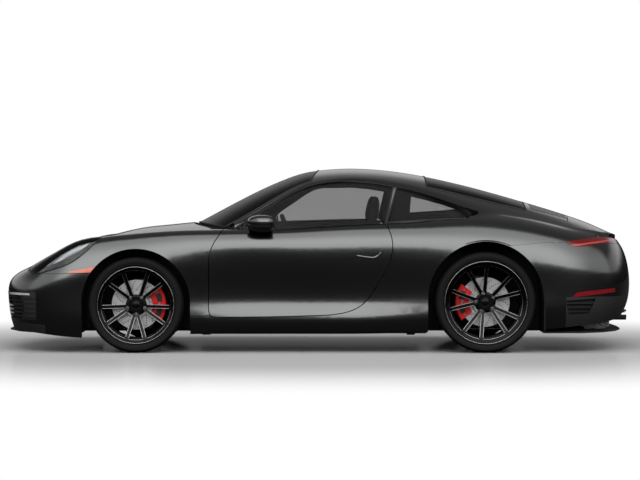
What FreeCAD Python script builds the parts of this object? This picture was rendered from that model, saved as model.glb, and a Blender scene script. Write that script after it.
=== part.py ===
import FreeCAD, Part
import math
import os

V = FreeCAD.Vector

# driving sizes, millimetres
FRONT_AXLE_X = -1289.5
REAR_AXLE_X = 1160.5
SHUT = 6.0
PANEL = 28.0
GLASS = 5.0
DOOR_DEPTH = 64.0
KINGPIN_Y = 742.0
PIN_R = 12.0
HUB_BORE = 34.0

AXLE = {
    "front": {"x": FRONT_AXLE_X, "y": 790.0, "tyre_r": 334.0, "tyre_w": 244.0,
              "seat_r": 254.0, "lip_r": 271.5, "disc_r": 175.0,
              "arch_z": 349.0, "arch_r": 380.0, "spoke_turn": 36.0, "caliper_turn": 52.0},
    "rear": {"x": REAR_AXLE_X, "y": 772.0, "tyre_r": 352.0, "tyre_w": 300.0,
             "seat_r": 267.0, "lip_r": 292.0, "disc_r": 175.0,
             "arch_z": 376.0, "arch_r": 404.0, "spoke_turn": 58.3, "caliper_turn": 232.0},
}

# side band: poles of seven lines from the bottom edge up to bonnet edge and belt
# rows are (station, x, y, z), or (station, y, z) where x is the station itself
NOSE = -2938.0
TAIL = 2920.0
BAND = [
    [(NOSE, -2222, 0, 160), (-2608, -2210, 330, 158), (-2344, -2160, 575, 150),
     (-2137, -2050, 735, 140), (-1934, -1890, 832, 122), (-1660, 870, 104), (-1290, 868, 112),
     (-930, 862, 128), (-640, 850, 130), (-150, 846, 130), (350, 852, 132), (760, 866, 142),
     (1160, 872, 150), (1560, 874, 162), (1853, 1840, 842, 190), (2072, 2020, 762, 212),
     (2294, 2120, 590, 232), (2580, 2178, 325, 246), (TAIL, 2200, 0, 250)],
    [(NOSE, -2245, 0, 225), (-2608, -2234, 335, 225), (-2344, -2186, 590, 222),
     (-2137, -2076, 765, 220), (-1934, -1915, 865, 215), (-1660, 905, 210), (-1290, 912, 215),
     (-930, 908, 212), (-640, 905, 208), (-150, 905, 206), (350, 910, 208), (760, 915, 222),
     (1160, 918, 240), (1560, 917, 255), (1853, 1850, 878, 275), (2072, 2045, 792, 290),
     (2294, 2150, 610, 300), (2580, 2215, 335, 305), (TAIL, 2240, 0, 308)],
    [(NOSE, -2255, 0, 320), (-2608, -2244, 338, 320), (-2344, -2196, 594, 320),
     (-2137, -2090, 770, 322), (-1934, -1927, 868, 330), (-1660, 905, 340), (-1290, 905, 350),
     (-930, 880, 340), (-640, 862, 330), (-150, 856, 325), (350, 862, 325), (760, 886, 345),
     (1160, 908, 370), (1560, 914, 385), (1853, 1850, 884, 395), (2072, 2055, 797, 400),
     (2294, 2165, 615, 402), (2580, 2233, 340, 404), (TAIL, 2260, 0, 405)],
    [(NOSE, -2266, 0, 430), (-2608, -2254, 338, 430), (-2344, -2202, 595, 433),
     (-2137, -2092, 772, 440), (-1934, -1932, 874, 455), (-1660, 912, 475), (-1290, 918, 500),
     (-930, 900, 505), (-640, 882, 500), (-150, 876, 498), (350, 882, 500), (760, 902, 510),
     (1160, 920, 520), (1560, 922, 525), (1853, 1848, 888, 520), (2072, 2052, 800, 512),
     (2294, 2163, 617, 508), (2580, 2233, 340, 506), (TAIL, 2260, 0, 505)],
    [(NOSE, -2242, 0, 518), (-2608, -2230, 335, 519), (-2344, -2178, 590, 524),
     (-2137, -2060, 760, 540), (-1934, -1903, 868, 572), (-1660, 922, 630), (-1290, 935, 700),
     (-930, 925, 712), (-640, 912, 705), (-150, 906, 702), (350, 912, 708), (760, 926, 718),
     (1160, 936, 715), (1560, 928, 700), (1853, 1843, 886, 665), (2072, 2040, 796, 640),
     (2294, 2148, 610, 628), (2580, 2220, 335, 622), (TAIL, 2246, 0, 620)],
    [(NOSE, -2160, 0, 562), (-2608, -2147, 325, 565), (-2344, -2093, 560, 585),
     (-2137, -1987, 705, 640), (-1934, -1845, 790, 735), (-1660, 825, 838), (-1290, 836, 884),
     (-930, 868, 892), (-640, 885, 868), (-150, 882, 852), (350, 886, 868), (760, 893, 884),
     (1160, 886, 892), (1560, 858, 862), (1853, 1830, 805, 805), (2072, 2010, 733, 770),
     (2294, 2115, 575, 745), (2580, 2185, 320, 735), (TAIL, 2208, 0, 732)],
    [(NOSE, -2060, 0, 604), (-2608, -2050, 300, 607), (-2344, -2008, 462, 620),
     (-2137, -1915, 545, 660), (-1934, -1790, 590, 708), (-1660, 608, 752), (-1290, 628, 808),
     (-930, 662, 848), (-640, 738, 866), (-330, 785, 868), (0, 800, 881), (350, 797, 900),
     (760, 778, 924), (1160, 744, 950), (1560, 700, 905), (1853, 1810, 690, 845),
     (2072, 1985, 650, 815), (2294, 2085, 530, 800), (2580, 2135, 300, 795),
     (TAIL, 2158, 0, 792)],
]

# rail line above the side glass and the centre line of windscreen, roof and tail
RAIL = [(-660, 724, 874), (-443, -455, 684, 988), (-199, -208, 628, 1134),
        (-60, -66, 596, 1193), (60, 580, 1216), (177, 572, 1227), (302, 568, 1226),
        (533, 566, 1200), (842, 575, 1128), (1073, 592, 1055), (1300, 600, 990),
        (1560, 600, 928), (1810, 596, 876), (1985, 588, 846), (2150, 575, 815)]
SPINE = [(-660, -890, 0, 905), (-443, -640, 0, 1039), (-199, -330, 0, 1191),
         (-60, -130, 0, 1264), (60, 20, 0, 1288), (177, 165, 0, 1298), (302, 0, 1297),
         (533, 0, 1278), (842, 0, 1225), (1073, 0, 1171), (1300, 0, 1110), (1560, 0, 1034),
         (1810, 0, 956), (1985, 0, 890), (2150, 0, 805)]
ROOF_POWER = 2.4

# bonnet along its centre line
BONNET_SPINE = [(-2110, 572), (-2060, 604), (-2008, 630), (-1915, 670), (-1790, 724),
                (-1660, 775), (-1472, 828), (-1290, 868), (-1119, 887), (-930, 906),
                (-640, 925)]


# smooth curves through a few points
def spline(knots, values, flat_ends=False):
    n = len(knots)
    h = [knots[i + 1] - knots[i] for i in range(n - 1)]
    slope = [(values[i + 1] - values[i]) / h[i] for i in range(n - 1)]
    lower = [0.0] * n
    main = [1.0] * n
    upper = [0.0] * n
    right = [0.0] * n
    for i in range(1, n - 1):
        lower[i] = h[i - 1]
        main[i] = 2 * (h[i - 1] + h[i])
        upper[i] = h[i]
        right[i] = 6 * (slope[i] - slope[i - 1])
    if flat_ends:
        main[0] = 2 * h[0]
        upper[0] = h[0]
        right[0] = 6 * slope[0]
        lower[-1] = h[-1]
        main[-1] = 2 * h[-1]
        right[-1] = -6 * slope[-1]
    for i in range(1, n):
        w = lower[i] / main[i - 1]
        main[i] -= w * upper[i - 1]
        right[i] -= w * right[i - 1]
    bend = [0.0] * n
    bend[-1] = right[-1] / main[-1]
    for i in range(n - 2, -1, -1):
        bend[i] = (right[i] - upper[i] * bend[i + 1]) / main[i]

    def at(t):
        i = 0
        while i < n - 2 and t > knots[i + 1]:
            i += 1
        a = (knots[i + 1] - t) / h[i]
        b = (t - knots[i]) / h[i]
        return (a * values[i] + b * values[i + 1]
                + ((a ** 3 - a) * bend[i] + (b ** 3 - b) * bend[i + 1]) * h[i] ** 2 / 6)
    return at


def line(rows, flat_ends=False):
    full = [row if len(row) == 4 else (row[0],) + tuple(row) for row in rows]
    knots = [row[0] for row in full]
    x = spline(knots, [row[1] for row in full], flat_ends)
    y = spline(knots, [row[2] for row in full])
    z = spline(knots, [row[3] for row in full], flat_ends)
    return lambda t: V(x(t), y(t), z(t))


def section(poles, v):
    spans = len(poles) - 3
    t = min(max(v, 0.0), 1.0) * spans
    k = min(int(t), spans - 1)
    knots = [0.0] * 4 + [float(i) for i in range(1, spans)] + [float(spans)] * 4
    d = [poles[k + i] for i in range(4)]
    for r in range(1, 4):
        for j in range(3, r - 1, -1):
            i = j + k
            a = (t - knots[i]) / (knots[i + 4 - r] - knots[i])
            d[j] = d[j - 1] * (1 - a) + d[j] * a
    return d[3]


BAND_LINES = [line(rows, True) for rows in BAND]
RAIL_LINE = line(RAIL)
SPINE_LINE = line(SPINE)
BONNET_Z = spline([p[0] for p in BONNET_SPINE], [p[1] for p in BONNET_SPINE])


def band(u, v):
    return section([one(u) for one in BAND_LINES], v)


def edge_at(x):
    low = NOSE
    high = TAIL
    for _ in range(50):
        mid = (low + high) / 2
        if BAND_LINES[6](mid).x < x:
            low = mid
        else:
            high = mid
    return BAND_LINES[6](low)


def bonnet(x, y):
    side = edge_at(max(x, -1990.0))
    drop = (BONNET_Z(side.x) - side.z) / side.y ** 2
    return V(x, y, BONNET_Z(x) - drop * y * y)


def top(u, w):
    rail = RAIL_LINE(u)
    spine = SPINE_LINE(u)
    a = abs(w)
    return V(spine.x + (rail.x - spine.x) * a * a, rail.y * w,
             rail.z + (spine.z - rail.z) * (1 - a ** ROOF_POWER))


def glass_line(u, v):
    if v >= 0:
        return glasshouse(u, v)
    start = glasshouse(u, 0.0)
    return start + (glasshouse(u, 0.02) - start) * (v / 0.02)


def blend(t):
    t = min(max(t, 0.0), 1.0)
    return t * t * (3 - 2 * t)


def glasshouse(u, v):
    belt = BAND_LINES[6](u)
    shoulder = BAND_LINES[5](u)
    rail = RAIL_LINE(u)
    spine = SPINE_LINE(u)
    slope = ROOF_POWER * (spine.z - rail.z) / rail.y
    reach = 42.0 * blend((u + 660) / 300.0) * (1.0 - 0.7 * blend((u - 1200) / 400.0))
    over = rail + V(0, reach / math.hypot(1, slope), -reach * slope / math.hypot(1, slope))
    low = belt * 0.66 + over * 0.34 + V(0, 10, 6)
    high = belt * 0.30 + over * 0.70 + V(0, 10, 6)
    soft = blend((u - 950) / 250.0)
    along = (belt - shoulder) * 0.35
    low = low * (1 - soft) + (belt + along) * soft
    high = high * (1 - soft) + (belt * 0.5 + over * 0.5 - V(0, 0, 4)) * soft
    return section([belt, low, high, over, rail], v)


# thick panels: an outer sheet, an inner sheet and four edges
def steps(low, high, count):
    return [low + (high - low) * i / (count - 1) for i in range(count)]


def fitted(points, marks):
    curve = Part.BSplineCurve()
    curve.interpolate(Points=points, Parameters=marks)
    return curve


def net(grid, us, vs):
    rows = [fitted(row, vs) for row in grid]
    columns = list(zip(*[row.getPoles() for row in rows]))
    lines = [fitted(list(column), us) for column in columns]
    poles = list(zip(*[one.getPoles() for one in lines]))
    return {"poles": [list(row) for row in poles],
            "u": (lines[0].getKnots(), lines[0].getMultiplicities()),
            "v": (rows[0].getKnots(), rows[0].getMultiplicities())}


def net_face(poles, u, v, u_degree=3, v_degree=3):
    surface = Part.BSplineSurface()
    surface.buildFromPolesMultsKnots(poles, u[1], v[1], u[0], v[0], False, False,
                                     u_degree, v_degree)
    return surface.toShape()


def unit_normal(fn, u, v, du, dv):
    a = fn(u + du, v) - fn(u - du, v)
    b = fn(u, v + dv) - fn(u, v - dv)
    n = a.cross(b)
    n.normalize()
    return n


def closed(faces):
    shell = Part.Shell(faces)
    shell.sewShape()
    solid = Part.Solid(shell)
    if solid.Volume < 0:
        solid.reverse()
    return solid


def strips(parts, us, depth, lift=0.0, du=2.0, flip=1.0):
    outer = []
    inner = []
    for k, (fn, vs, dv) in enumerate(parts):
        rows_a = []
        rows_b = []
        for u in us:
            row_a = []
            row_b = []
            for v in vs:
                p = fn(u, v)
                n = unit_normal(fn, u, v, du, dv) * flip
                other = None
                if v == vs[0] and k > 0:
                    other = parts[k - 1]
                    m = unit_normal(other[0], u, other[1][-1], du, other[2]) * flip
                elif v == vs[-1] and k < len(parts) - 1:
                    other = parts[k + 1]
                    m = unit_normal(other[0], u, other[1][0], du, other[2]) * flip
                if other:
                    n = (n + m) * (1.0 / (1.0 + n.dot(m)))
                row_a.append(p + n * lift)
                row_b.append(p - n * (depth - lift))
            rows_a.append(row_a)
            rows_b.append(row_b)
        outer.append(net(rows_a, us, vs))
        inner.append(net(rows_b, us, vs))
    short = ([0.0, 1.0], [2, 2])
    faces = []
    for a, b in zip(outer, inner):
        faces.append(net_face(a["poles"], a["u"], a["v"]))
        faces.append(net_face(b["poles"], b["u"], b["v"]))
        for i in (0, -1):
            faces.append(net_face([a["poles"][i], b["poles"][i]], short, a["v"], 1, 3))
    for k, i in ((0, 0), (-1, -1)):
        a = outer[k]["poles"]
        b = inner[k]["poles"]
        pair = [[one[i] for one in a], [one[i] for one in b]]
        faces.append(net_face(pair, short, outer[k]["u"], 1, 3))
    return closed(faces)


def thick(fn, us, vs, depth, lift=0.0, du=2.0, dv=0.004, flip=1.0):
    return strips([(fn, vs, dv)], us, depth, lift, du, flip)


def whole_band(u, v):
    if u < NOSE:
        p = band(2 * NOSE - u, v)
        return V(p.x, -p.y, p.z)
    if u > TAIL:
        p = band(2 * TAIL - u, v)
        return V(p.x, -p.y, p.z)
    return band(u, v)


def mirrored(shape):
    return shape.mirror(V(0, 0, 0), V(0, 1, 0))


# cutting blocks drawn in side view, plan view or front view
def sampled(chain):
    if len(chain) == 2:
        return list(chain)
    run = [0.0]
    for p, q in zip(chain, chain[1:]):
        run.append(run[-1] + math.hypot(q[0] - p[0], q[1] - p[1]))
    a = spline(run, [p[0] for p in chain])
    b = spline(run, [p[1] for p in chain])
    count = 4 * (len(chain) - 1) + 1
    return [(a(t), b(t)) for t in steps(0.0, run[-1], count)]


def shifted(points, d):
    out = []
    last = len(points) - 1
    for i, p in enumerate(points):
        q = points[min(i + 1, last)]
        r = points[max(i - 1, 0)]
        size = math.hypot(q[0] - r[0], q[1] - r[1])
        out.append((p[0] + d * (q[1] - r[1]) / size, p[1] - d * (q[0] - r[0]) / size))
    return out


def stretched(points, extra):
    (a, b), (c, d) = points[0], points[1]
    size = math.hypot(c - a, d - b)
    head = (a - (c - a) * extra / size, b - (d - b) * extra / size)
    (a, b), (c, d) = points[-1], points[-2]
    size = math.hypot(c - a, d - b)
    foot = (a - (c - a) * extra / size, b - (d - b) * extra / size)
    return [head] + points + [foot]


def crossing(first, second):
    for i in range(len(first) - 2, -1, -1):
        for j in range(len(second) - 1):
            p, q = first[i], first[i + 1]
            r, s = second[j], second[j + 1]
            det = (q[0] - p[0]) * (s[1] - r[1]) - (q[1] - p[1]) * (s[0] - r[0])
            if abs(det) < 1e-6:
                continue
            t = ((r[0] - p[0]) * (s[1] - r[1]) - (r[1] - p[1]) * (s[0] - r[0])) / det
            k = ((r[0] - p[0]) * (q[1] - p[1]) - (r[1] - p[1]) * (q[0] - p[0])) / det
            if -1e-9 <= t <= 1 + 1e-9 and -1e-9 <= k <= 1 + 1e-9:
                return i, j, (p[0] + t * (q[0] - p[0]), p[1] + t * (q[1] - p[1]))
    return None


def grown(chains, offset):
    lines = [sampled(chain) for chain in chains]
    loop = [p for one in lines for p in one[:-1]]
    area = sum(p[0] * q[1] - q[0] * p[1] for p, q in zip(loop, loop[1:] + loop[:1]))
    d = offset if area > 0 else -offset
    lines = [stretched(shifted(one, d), 4 * abs(offset)) for one in lines]
    count = len(lines)
    heads = [None] * count
    feet = [None] * count
    for i in range(count):
        k = (i + 1) % count
        hit = crossing(lines[i], lines[k])
        if hit:
            feet[i] = (hit[0], hit[2])
            heads[k] = (hit[1], hit[2])
        else:
            p, q = lines[i][-2], lines[k][1]
            mid = ((p[0] + q[0]) / 2, (p[1] + q[1]) / 2)
            feet[i] = (len(lines[i]) - 3, mid)
            heads[k] = (1, mid)
    out = []
    for i in range(count):
        start, end = heads[i][0], feet[i][0]
        body = lines[i][start + 1:end + 1]
        near = abs(offset) * 0.5
        body = [p for p in body
                if math.hypot(p[0] - heads[i][1][0], p[1] - heads[i][1][1]) > near
                and math.hypot(p[0] - feet[i][1][0], p[1] - feet[i][1][1]) > near]
        if len(chains[i]) == 2:
            body = []
        out.append([heads[i][1]] + body + [feet[i][1]])
    return out


def block(chains, place, offset, direction):
    lines = grown(chains, offset) if offset else [sampled(chain) for chain in chains]
    edges = []
    for points in lines:
        points = [place(p) for p in points]
        if len(points) == 2:
            edges.append(Part.makeLine(points[0], points[1]))
        else:
            curve = Part.BSplineCurve()
            curve.interpolate(points)
            edges.append(curve.toShape())
    return Part.Face(Part.Wire(edges)).extrude(direction)


def side_block(chains, y0, y1, offset=0.0):
    return block(chains, lambda p: V(p[0], y0, p[1]), offset, V(0, y1 - y0, 0))


def plan_block(chains, z0, z1, offset=0.0):
    return block(chains, lambda p: V(p[0], p[1], z0), offset, V(0, 0, z1 - z0))


def ring(points):
    return [[points[i], points[(i + 1) % len(points)]] for i in range(len(points))]


def box(x0, x1, y0, y1, z0, z1):
    return Part.makeBox(x1 - x0, y1 - y0, z1 - z0, V(x0, y0, z0))


def cylinder_y(r, y0, y1, x=0.0, z=0.0):
    return Part.makeCylinder(r, y1 - y0, V(x, y0, z), V(0, 1, 0))


def both(shape):
    return Part.makeCompound([shape, mirrored(shape)])


def fused(shapes):
    return shapes[0].multiFuse(shapes[1:])


def biggest(shape):
    return max(shape.Solids, key=lambda s: s.Volume)


# shut lines in side view, x and z
DOOR_FRONT = [(-674, 872), (-700, 835), (-745, 765), (-774, 691), (-779, 640), (-781, 560)]
DOOR_FOOT = [(-781, 300), (-765, 262), (-730, 250)]
DOOR_SILL = [(-730, 250), (-388, 252), (60, 264)]
DOOR_HEEL = [(60, 264), (190, 285), (300, 339), (380, 438), (438, 538), (482, 622),
             (502, 690), (508, 762), (494, 834), (457, 915)]
DOOR_TOP = 990.0
DOOR_LINES = [DOOR_FRONT, [DOOR_FRONT[-1], DOOR_FOOT[0]], DOOR_FOOT, DOOR_SILL, DOOR_HEEL,
              [DOOR_HEEL[-1], (457, DOOR_TOP)], [(457, DOOR_TOP), (-674, DOOR_TOP)],
              [(-674, DOOR_TOP), DOOR_FRONT[0]]]
GLASS_TOP = [(-612, 862), (-443, 968), (-321, 1042), (-199, 1115), (-76, 1168), (5, 1190),
             (142, 1203), (302, 1194), (426, 1181), (518, 1164)]
PILLAR_FOOT = (441, 800)
RAIL_JOINT_X = 300.0
SILL_X = -899.4
DOOR_WINDOW = [GLASS_TOP, [GLASS_TOP[-1], PILLAR_FOOT], [PILLAR_FOOT, (-612, 800)],
               [(-612, 800), GLASS_TOP[0]]]
QUARTER_WINDOW = [[(546, 1157), (688, 1126), (842, 1080), (996, 1026), (1073, 1003),
                   (1130, 985)], [(1130, 985), (1118, 962)],
                  [(1118, 962), (1062, 947), (757, 926), (466, 908)],
                  [(466, 908), (546, 1157)]]
BUMPER_LINE = [(-2100, 585), (-2049, 578), (-1934, 557), (-1772, 558), (-1600, 563)]
REAR_LINE = [(1300, 750), (1336, 752), (1480, 764), (1608, 773), (1724, 774)]
LAMP_TOP = [(1724, 776), (1745, 783), (1825, 802), (1985, 812), (2085, 798), (2160, 780),
            (2240, 765)]
LAMP_FOOT = [(1724, 771), (1790, 745), (1930, 757), (2085, 760), (2240, 752)]

# plan lines, x and half width
SCREEN_HALF = [(-890, 0), (-866, 240), (-800, 470), (-724, 622), (-664, 690)]
SCREEN_SIDE = [(-664, 690), (-455, 655), (-208, 600), (-66, 568)]
ROOF_HALF = 540.0
HEAD_X = -20.0
BACK_TOP_X = 760.0
BACK_FOOT_X = 1470.0
LID_X = (1480.0, 1840.0)
LID_HINGE = (1480.0, 1062.0)
LID_ARC = 325.0
LID_HALF = 475.0
DECK_HALF = 480.0
SPOILER_HALF = 560.0
SPOILER_X = 1796.0
COWL_LINE = [(-925, 0), (-905, 240), (-860, 440), (-790, 600), (-745, 672)]


def arch_cut(axle):
    a = AXLE[axle]
    drum = cylinder_y(a["arch_r"], 560, 1100, a["x"], a["arch_z"])
    slot = box(a["x"] - a["arch_r"], a["x"] + a["arch_r"], 560, 1100, 0, a["arch_z"])
    return drum.fuse(slot)


# skins of one side, positive y, and of nose and tail
def side_skin(x0, x1, count, depth=PANEL, lift=0.0):
    return thick(band, steps(x0, x1, count), steps(0, 1, 15), depth, lift, flip=-1)


def top_strip(u, t):
    return top(u, 1.0 - 0.28 * t)


def top_skin(x0, x1, count, depth, lift=0.0):
    return thick(top, steps(x0, x1, count), steps(-1, 1, 25), depth, lift)


nose_skin = thick(whole_band, steps(2 * NOSE + 1480, -1480, 51), steps(0, 1, 15), PANEL,
                  flip=-1)
tail_skin = thick(whole_band, steps(1280, 2 * TAIL - 1280, 55), steps(0, 1, 15), PANEL,
                  flip=-1)
front_arch = arch_cut("front")
rear_arch = arch_cut("rear")

# doors
door_cut = side_block(DOOR_LINES, 400, 1100, SHUT / 2)
door_key = side_block(DOOR_LINES, 400, 1100, -SHUT / 2)
door_core = side_block(DOOR_LINES, 400, 1100, -26.0)
door_skin = side_skin(-860, 580, 26).common(door_key)
deep_side = side_skin(-860, 580, 26, DOOR_DEPTH - PANEL + 1.0, 1.0 - PANEL)
door_inner = deep_side.common(door_core)
door = biggest(fused([door_skin, door_inner]))

HANDLE = [[(212, 693), (262, 715), (432, 719)], [(432, 719), (414, 690), (370, 668)],
          [(370, 668), (300, 676), (212, 693)]]
handle = side_skin(150, 480, 12, 7.8, 8.0).common(side_block(HANDLE, 400, 1100))
handle = biggest(handle)

edge_points = []
for u in (NOSE, -2608, -2344, -2137, -1934, -1660, -1290, -1000):
    p = BAND_LINES[6](u)
    edge_points.append((p.x, p.y))
bonnet_plan = [[(x, -y) for x, y in reversed(edge_points)][:-1] + edge_points,
               [edge_points[-1], (-760, 694)],
               [(-760, 694)] + [(x, y) for x, y in reversed(COWL_LINE[:-1])]
               + [(x, -y) for x, y in COWL_LINE[1:-1]] + [(-760, -694)],
               [(-760, -694), (edge_points[-1][0], -edge_points[-1][1])]]
bonnet_hole = plan_block(bonnet_plan, 400, 1100, -0.5)

# front wings, with the headlamp opening
WING_BLOCK = [BUMPER_LINE, [BUMPER_LINE[-1], (-1600, 60)], [(-1600, 60), (0, 60)],
              [(0, 60), (0, 1000)], [(0, 1000), (-2100, 1000)], [(-2100, 1000), BUMPER_LINE[0]]]
LAMP = {"y": 704.0, "z": 690.0, "ry": 104.0, "rz": 122.0}


def lamp_block(grow):
    oval = Part.Ellipse(V(-2300, LAMP["y"], LAMP["z"] + LAMP["rz"] + grow),
                        V(-2300, LAMP["y"] + LAMP["ry"] + grow, LAMP["z"]),
                        V(-2300, LAMP["y"], LAMP["z"]))
    return Part.Face(Part.Wire([oval.toShape()])).extrude(V(760, 0, 0))


WING_INNER_Y = 505.0
MARKER = ring([(-1764, 545), (-1764, 567), (-1569, 604), (-1560, 545)])
wing_key = side_block(WING_BLOCK, WING_INNER_Y, 1100, 0.0)
wing_gap = side_block(WING_BLOCK, WING_INNER_Y - 3, 1100, 3.0)
wing = side_skin(-2420, -640, 36).common(wing_key).cut(door_cut).cut(front_arch).cut(lamp_block(2.0))
wing = wing.cut(box(-660, 100, 400, 1100, 0, 1100)).cut(box(SILL_X, 0, 400, 1100, 0, 246))
wing = biggest(wing.cut(bonnet_hole).cut(side_block(MARKER, 700, 1100, 0.3)))
marker = side_skin(-1850, -1480, 14, 24.0, 1.0).common(side_block(MARKER, 700, 1100, 0.0))
marker = biggest(marker.common(wing_key).cut(front_arch))
lamp_glass = biggest(side_skin(-2450, -1500, 26, 6.0).common(lamp_block(1.7)))
lamp_bowl = side_skin(-2450, -1500, 26, 46.0, -6.2).common(lamp_block(1.7))
lamp_hollow = side_skin(-2450, -1500, 26, 42.0).common(lamp_block(-8.0))
lamp_bowl = biggest(lamp_bowl.cut(lamp_hollow))

# bumpers
bumper = nose_skin.cut(wing_gap).cut(mirrored(wing_gap))
bumper = bumper.cut(front_arch).cut(mirrored(front_arch)).cut(lamp_block(2.0))
bumper = bumper.cut(mirrored(lamp_block(2.0)))
bumper = biggest(bumper.cut(bonnet_hole))


def front_block(points, offset=0.0, x0=-2400.0, x1=-2012.0):
    return block(ring(points), lambda p: V(x0 - offset, p[0], p[1]), offset,
                 V(x1 - x0 + 2 * offset, 0, 0))


def slatted(points, pitch, first, x1=-2012.0):
    hole = front_block(points, -0.4, x1=x1)
    back = front_block(points, 10.0, x1=x1)
    bars = []
    for k in range(12):
        z = first + k * pitch
        bars.append(box(-2400, -1900, -800, 800, z, z + 9))
    slats = grille_skin.common(hole).common(Part.makeCompound(bars))
    plate = plate_skin.common(back)
    return biggest(fused([biggest(plate)] + slats.Solids))


INTAKE = [(400, 238), (726, 232), (760, 300), (760, 372), (430, 384), (392, 330)]
LOW_INTAKE = [(-340, 226), (340, 226), (318, 322), (-318, 322)]
DAY_LAMP = [(430, 399), (760, 399), (760, 415), (430, 415)]
grille_skin = thick(whole_band, steps(2 * NOSE + 1700, -1700, 45), steps(0, 1, 15), 26.0, -5.0,
                    flip=-1)
plate_skin = thick(whole_band, steps(2 * NOSE + 1700, -1700, 45), steps(0, 1, 15), 6.0, -28.3,
                   flip=-1)
strip_skin = thick(whole_band, steps(2 * NOSE + 1700, -1700, 45), steps(0, 1, 15), 26.0, 1.5,
                   flip=-1)
for cut in (front_block(INTAKE), front_block(DAY_LAMP, 0.3, x1=-2048.0)):
    bumper = bumper.cut(cut).cut(mirrored(cut))
bumper = biggest(bumper.cut(front_block(LOW_INTAKE)))
side_grille = slatted(INTAKE, 27.0, 246.0)
low_grille = slatted(LOW_INTAKE, 24.0, 240.0)
day_lamp = biggest(strip_skin.common(front_block(DAY_LAMP, x1=-2048.0)))

BACK_BLOCK = [REAR_LINE, LAMP_FOOT, [LAMP_FOOT[-1], (2400, 100)], [(2400, 100), (1000, 100)],
              [(1000, 100), (1000, 750)], [(1000, 750), REAR_LINE[0]]]
BACK_BLOCK[0] = REAR_LINE[:-1] + [LAMP_FOOT[0]]
rear_key = side_block(BACK_BLOCK, -1100, 1100, -1.5)
rear_bumper = tail_skin.common(rear_key).cut(rear_arch).cut(mirrored(rear_arch))
rear_bumper = rear_bumper.cut(box(1000, 1568, -1100, 1100, 0, 380))
VENT = [(1722, 366), (1936, 380), (1912, 332), (1884, 276), (1742, 268)]
REFLECTOR = [(1762, 390), (1806, 425), (2078, 450), (2082, 423)]
PIPE = {"y": 300.0, "z": 240.0, "r": 38.0, "x": 2214.0}
notch = box(2050, 2400, PIPE["y"] - 54, PIPE["y"] + 54, 0, PIPE["z"] + 52)
for cut in (side_block(ring(VENT), 500, 1100), side_block(ring(REFLECTOR), 500, 1100, 0.3), notch):
    rear_bumper = rear_bumper.cut(cut).cut(mirrored(cut))
rear_bumper = biggest(rear_bumper)
vent_back = side_skin(1600, 2040, 18, 6.0, -28.3).common(side_block(ring(VENT), 500, 1100, 10.0))
vent_bars = [box(1600, 2100, 400, 1100, z, z + 11) for z in (282, 312, 342)]
vent_slats = side_skin(1600, 2040, 18, 26.0, -5.0).common(side_block(ring(VENT), 500, 1100, -0.4))
vent_slats = vent_slats.common(Part.makeCompound(vent_bars))
rear_vent = biggest(fused([biggest(vent_back)] + vent_slats.Solids))
reflector = side_skin(1640, 2250, 24, 24.0, 1.0).common(side_block(ring(REFLECTOR), 500, 1100))
reflector = biggest(reflector)
LAMP_BLOCK = [LAMP_TOP, [LAMP_TOP[-1], LAMP_FOOT[-1]], LAMP_FOOT[::-1],
              [LAMP_FOOT[0], LAMP_TOP[0]]]
lamp_key = side_block(LAMP_BLOCK, -1100, 1100, -0.3)
tail_lamp = biggest(tail_skin.common(lamp_key))

# rear wing with its pillar as one pressing, sill, windscreen pillar with roof rail
QUARTER_BLOCK = [REAR_LINE[:-1] + [LAMP_FOOT[0]], [LAMP_FOOT[0], LAMP_TOP[0]], LAMP_TOP,
                 [LAMP_TOP[-1], (2240, 1300)], [(2240, 1300), (RAIL_JOINT_X, 1300)],
                 [(RAIL_JOINT_X, 1300), (RAIL_JOINT_X, 60)], [(RAIL_JOINT_X, 60), (1300, 60)],
                 [(1300, 60), REAR_LINE[0]]]
SCREEN_PLAN = [SCREEN_HALF, SCREEN_SIDE, [SCREEN_SIDE[-1], (HEAD_X, ROOF_HALF)],
               [(HEAD_X, ROOF_HALF), (BACK_TOP_X, ROOF_HALF)],
               [(BACK_TOP_X, ROOF_HALF), (BACK_FOOT_X, DECK_HALF)],
               [(BACK_FOOT_X, DECK_HALF), (2300, DECK_HALF)],
               [(2300, DECK_HALF), (2300, 0)], [(2300, 0), SCREEN_HALF[0]]]
middle = plan_block(SCREEN_PLAN, 400, 1500)
door_window_cut = side_block(DOOR_WINDOW, 300, 1100, SHUT)
quarter_window_cut = side_block(QUARTER_WINDOW, 300, 1100, 1.0)
quarter = strips([(band, steps(0, 1, 15), 0.004), (glasshouse, steps(0, 1, 12), 0.004),
                  (top_strip, steps(0, 1, 5), 0.004)],
                 steps(RAIL_JOINT_X - 40, 2015, 44), PANEL, flip=-1)
quarter = quarter.common(side_block(QUARTER_BLOCK, 300, 1100, 0.0))
quarter = quarter.cut(rear_arch).cut(door_cut).cut(door_window_cut)
quarter = quarter.cut(quarter_window_cut).cut(middle)
quarter = quarter.cut(box(SPOILER_X, 2300, 0, SPOILER_HALF, 400, 1400))
quarter = biggest(quarter)
sill = side_skin(-940, RAIL_JOINT_X + 20, 24)
sill_zone = box(SILL_X, DOOR_FOOT[0][0], 400, 1100, 60, 245.5)
sill_zone = sill_zone.fuse(box(DOOR_FOOT[0][0], RAIL_JOINT_X, 400, 1100, 60, 345))
sill = biggest(sill.common(sill_zone).cut(door_cut))
rail = strips([(glasshouse, steps(0, 1, 12), 0.004), (top_strip, steps(0, 1, 5), 0.004)],
              steps(-600, RAIL_JOINT_X + 30, 26), PANEL, flip=-1)
rail = rail.cut(box(RAIL_JOINT_X, 1000, 0, 1000, 400, 1400)).cut(door_window_cut)
rail = biggest(rail.cut(middle))

# fixed glass, roof, rear deck
def top_piece(lines, x0, x1, depth, lift, offset=0.0):
    skin = top_skin(x0, x1, 26, depth, lift)
    return skin.common(plan_block(lines, 400, 1500, offset))


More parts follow.
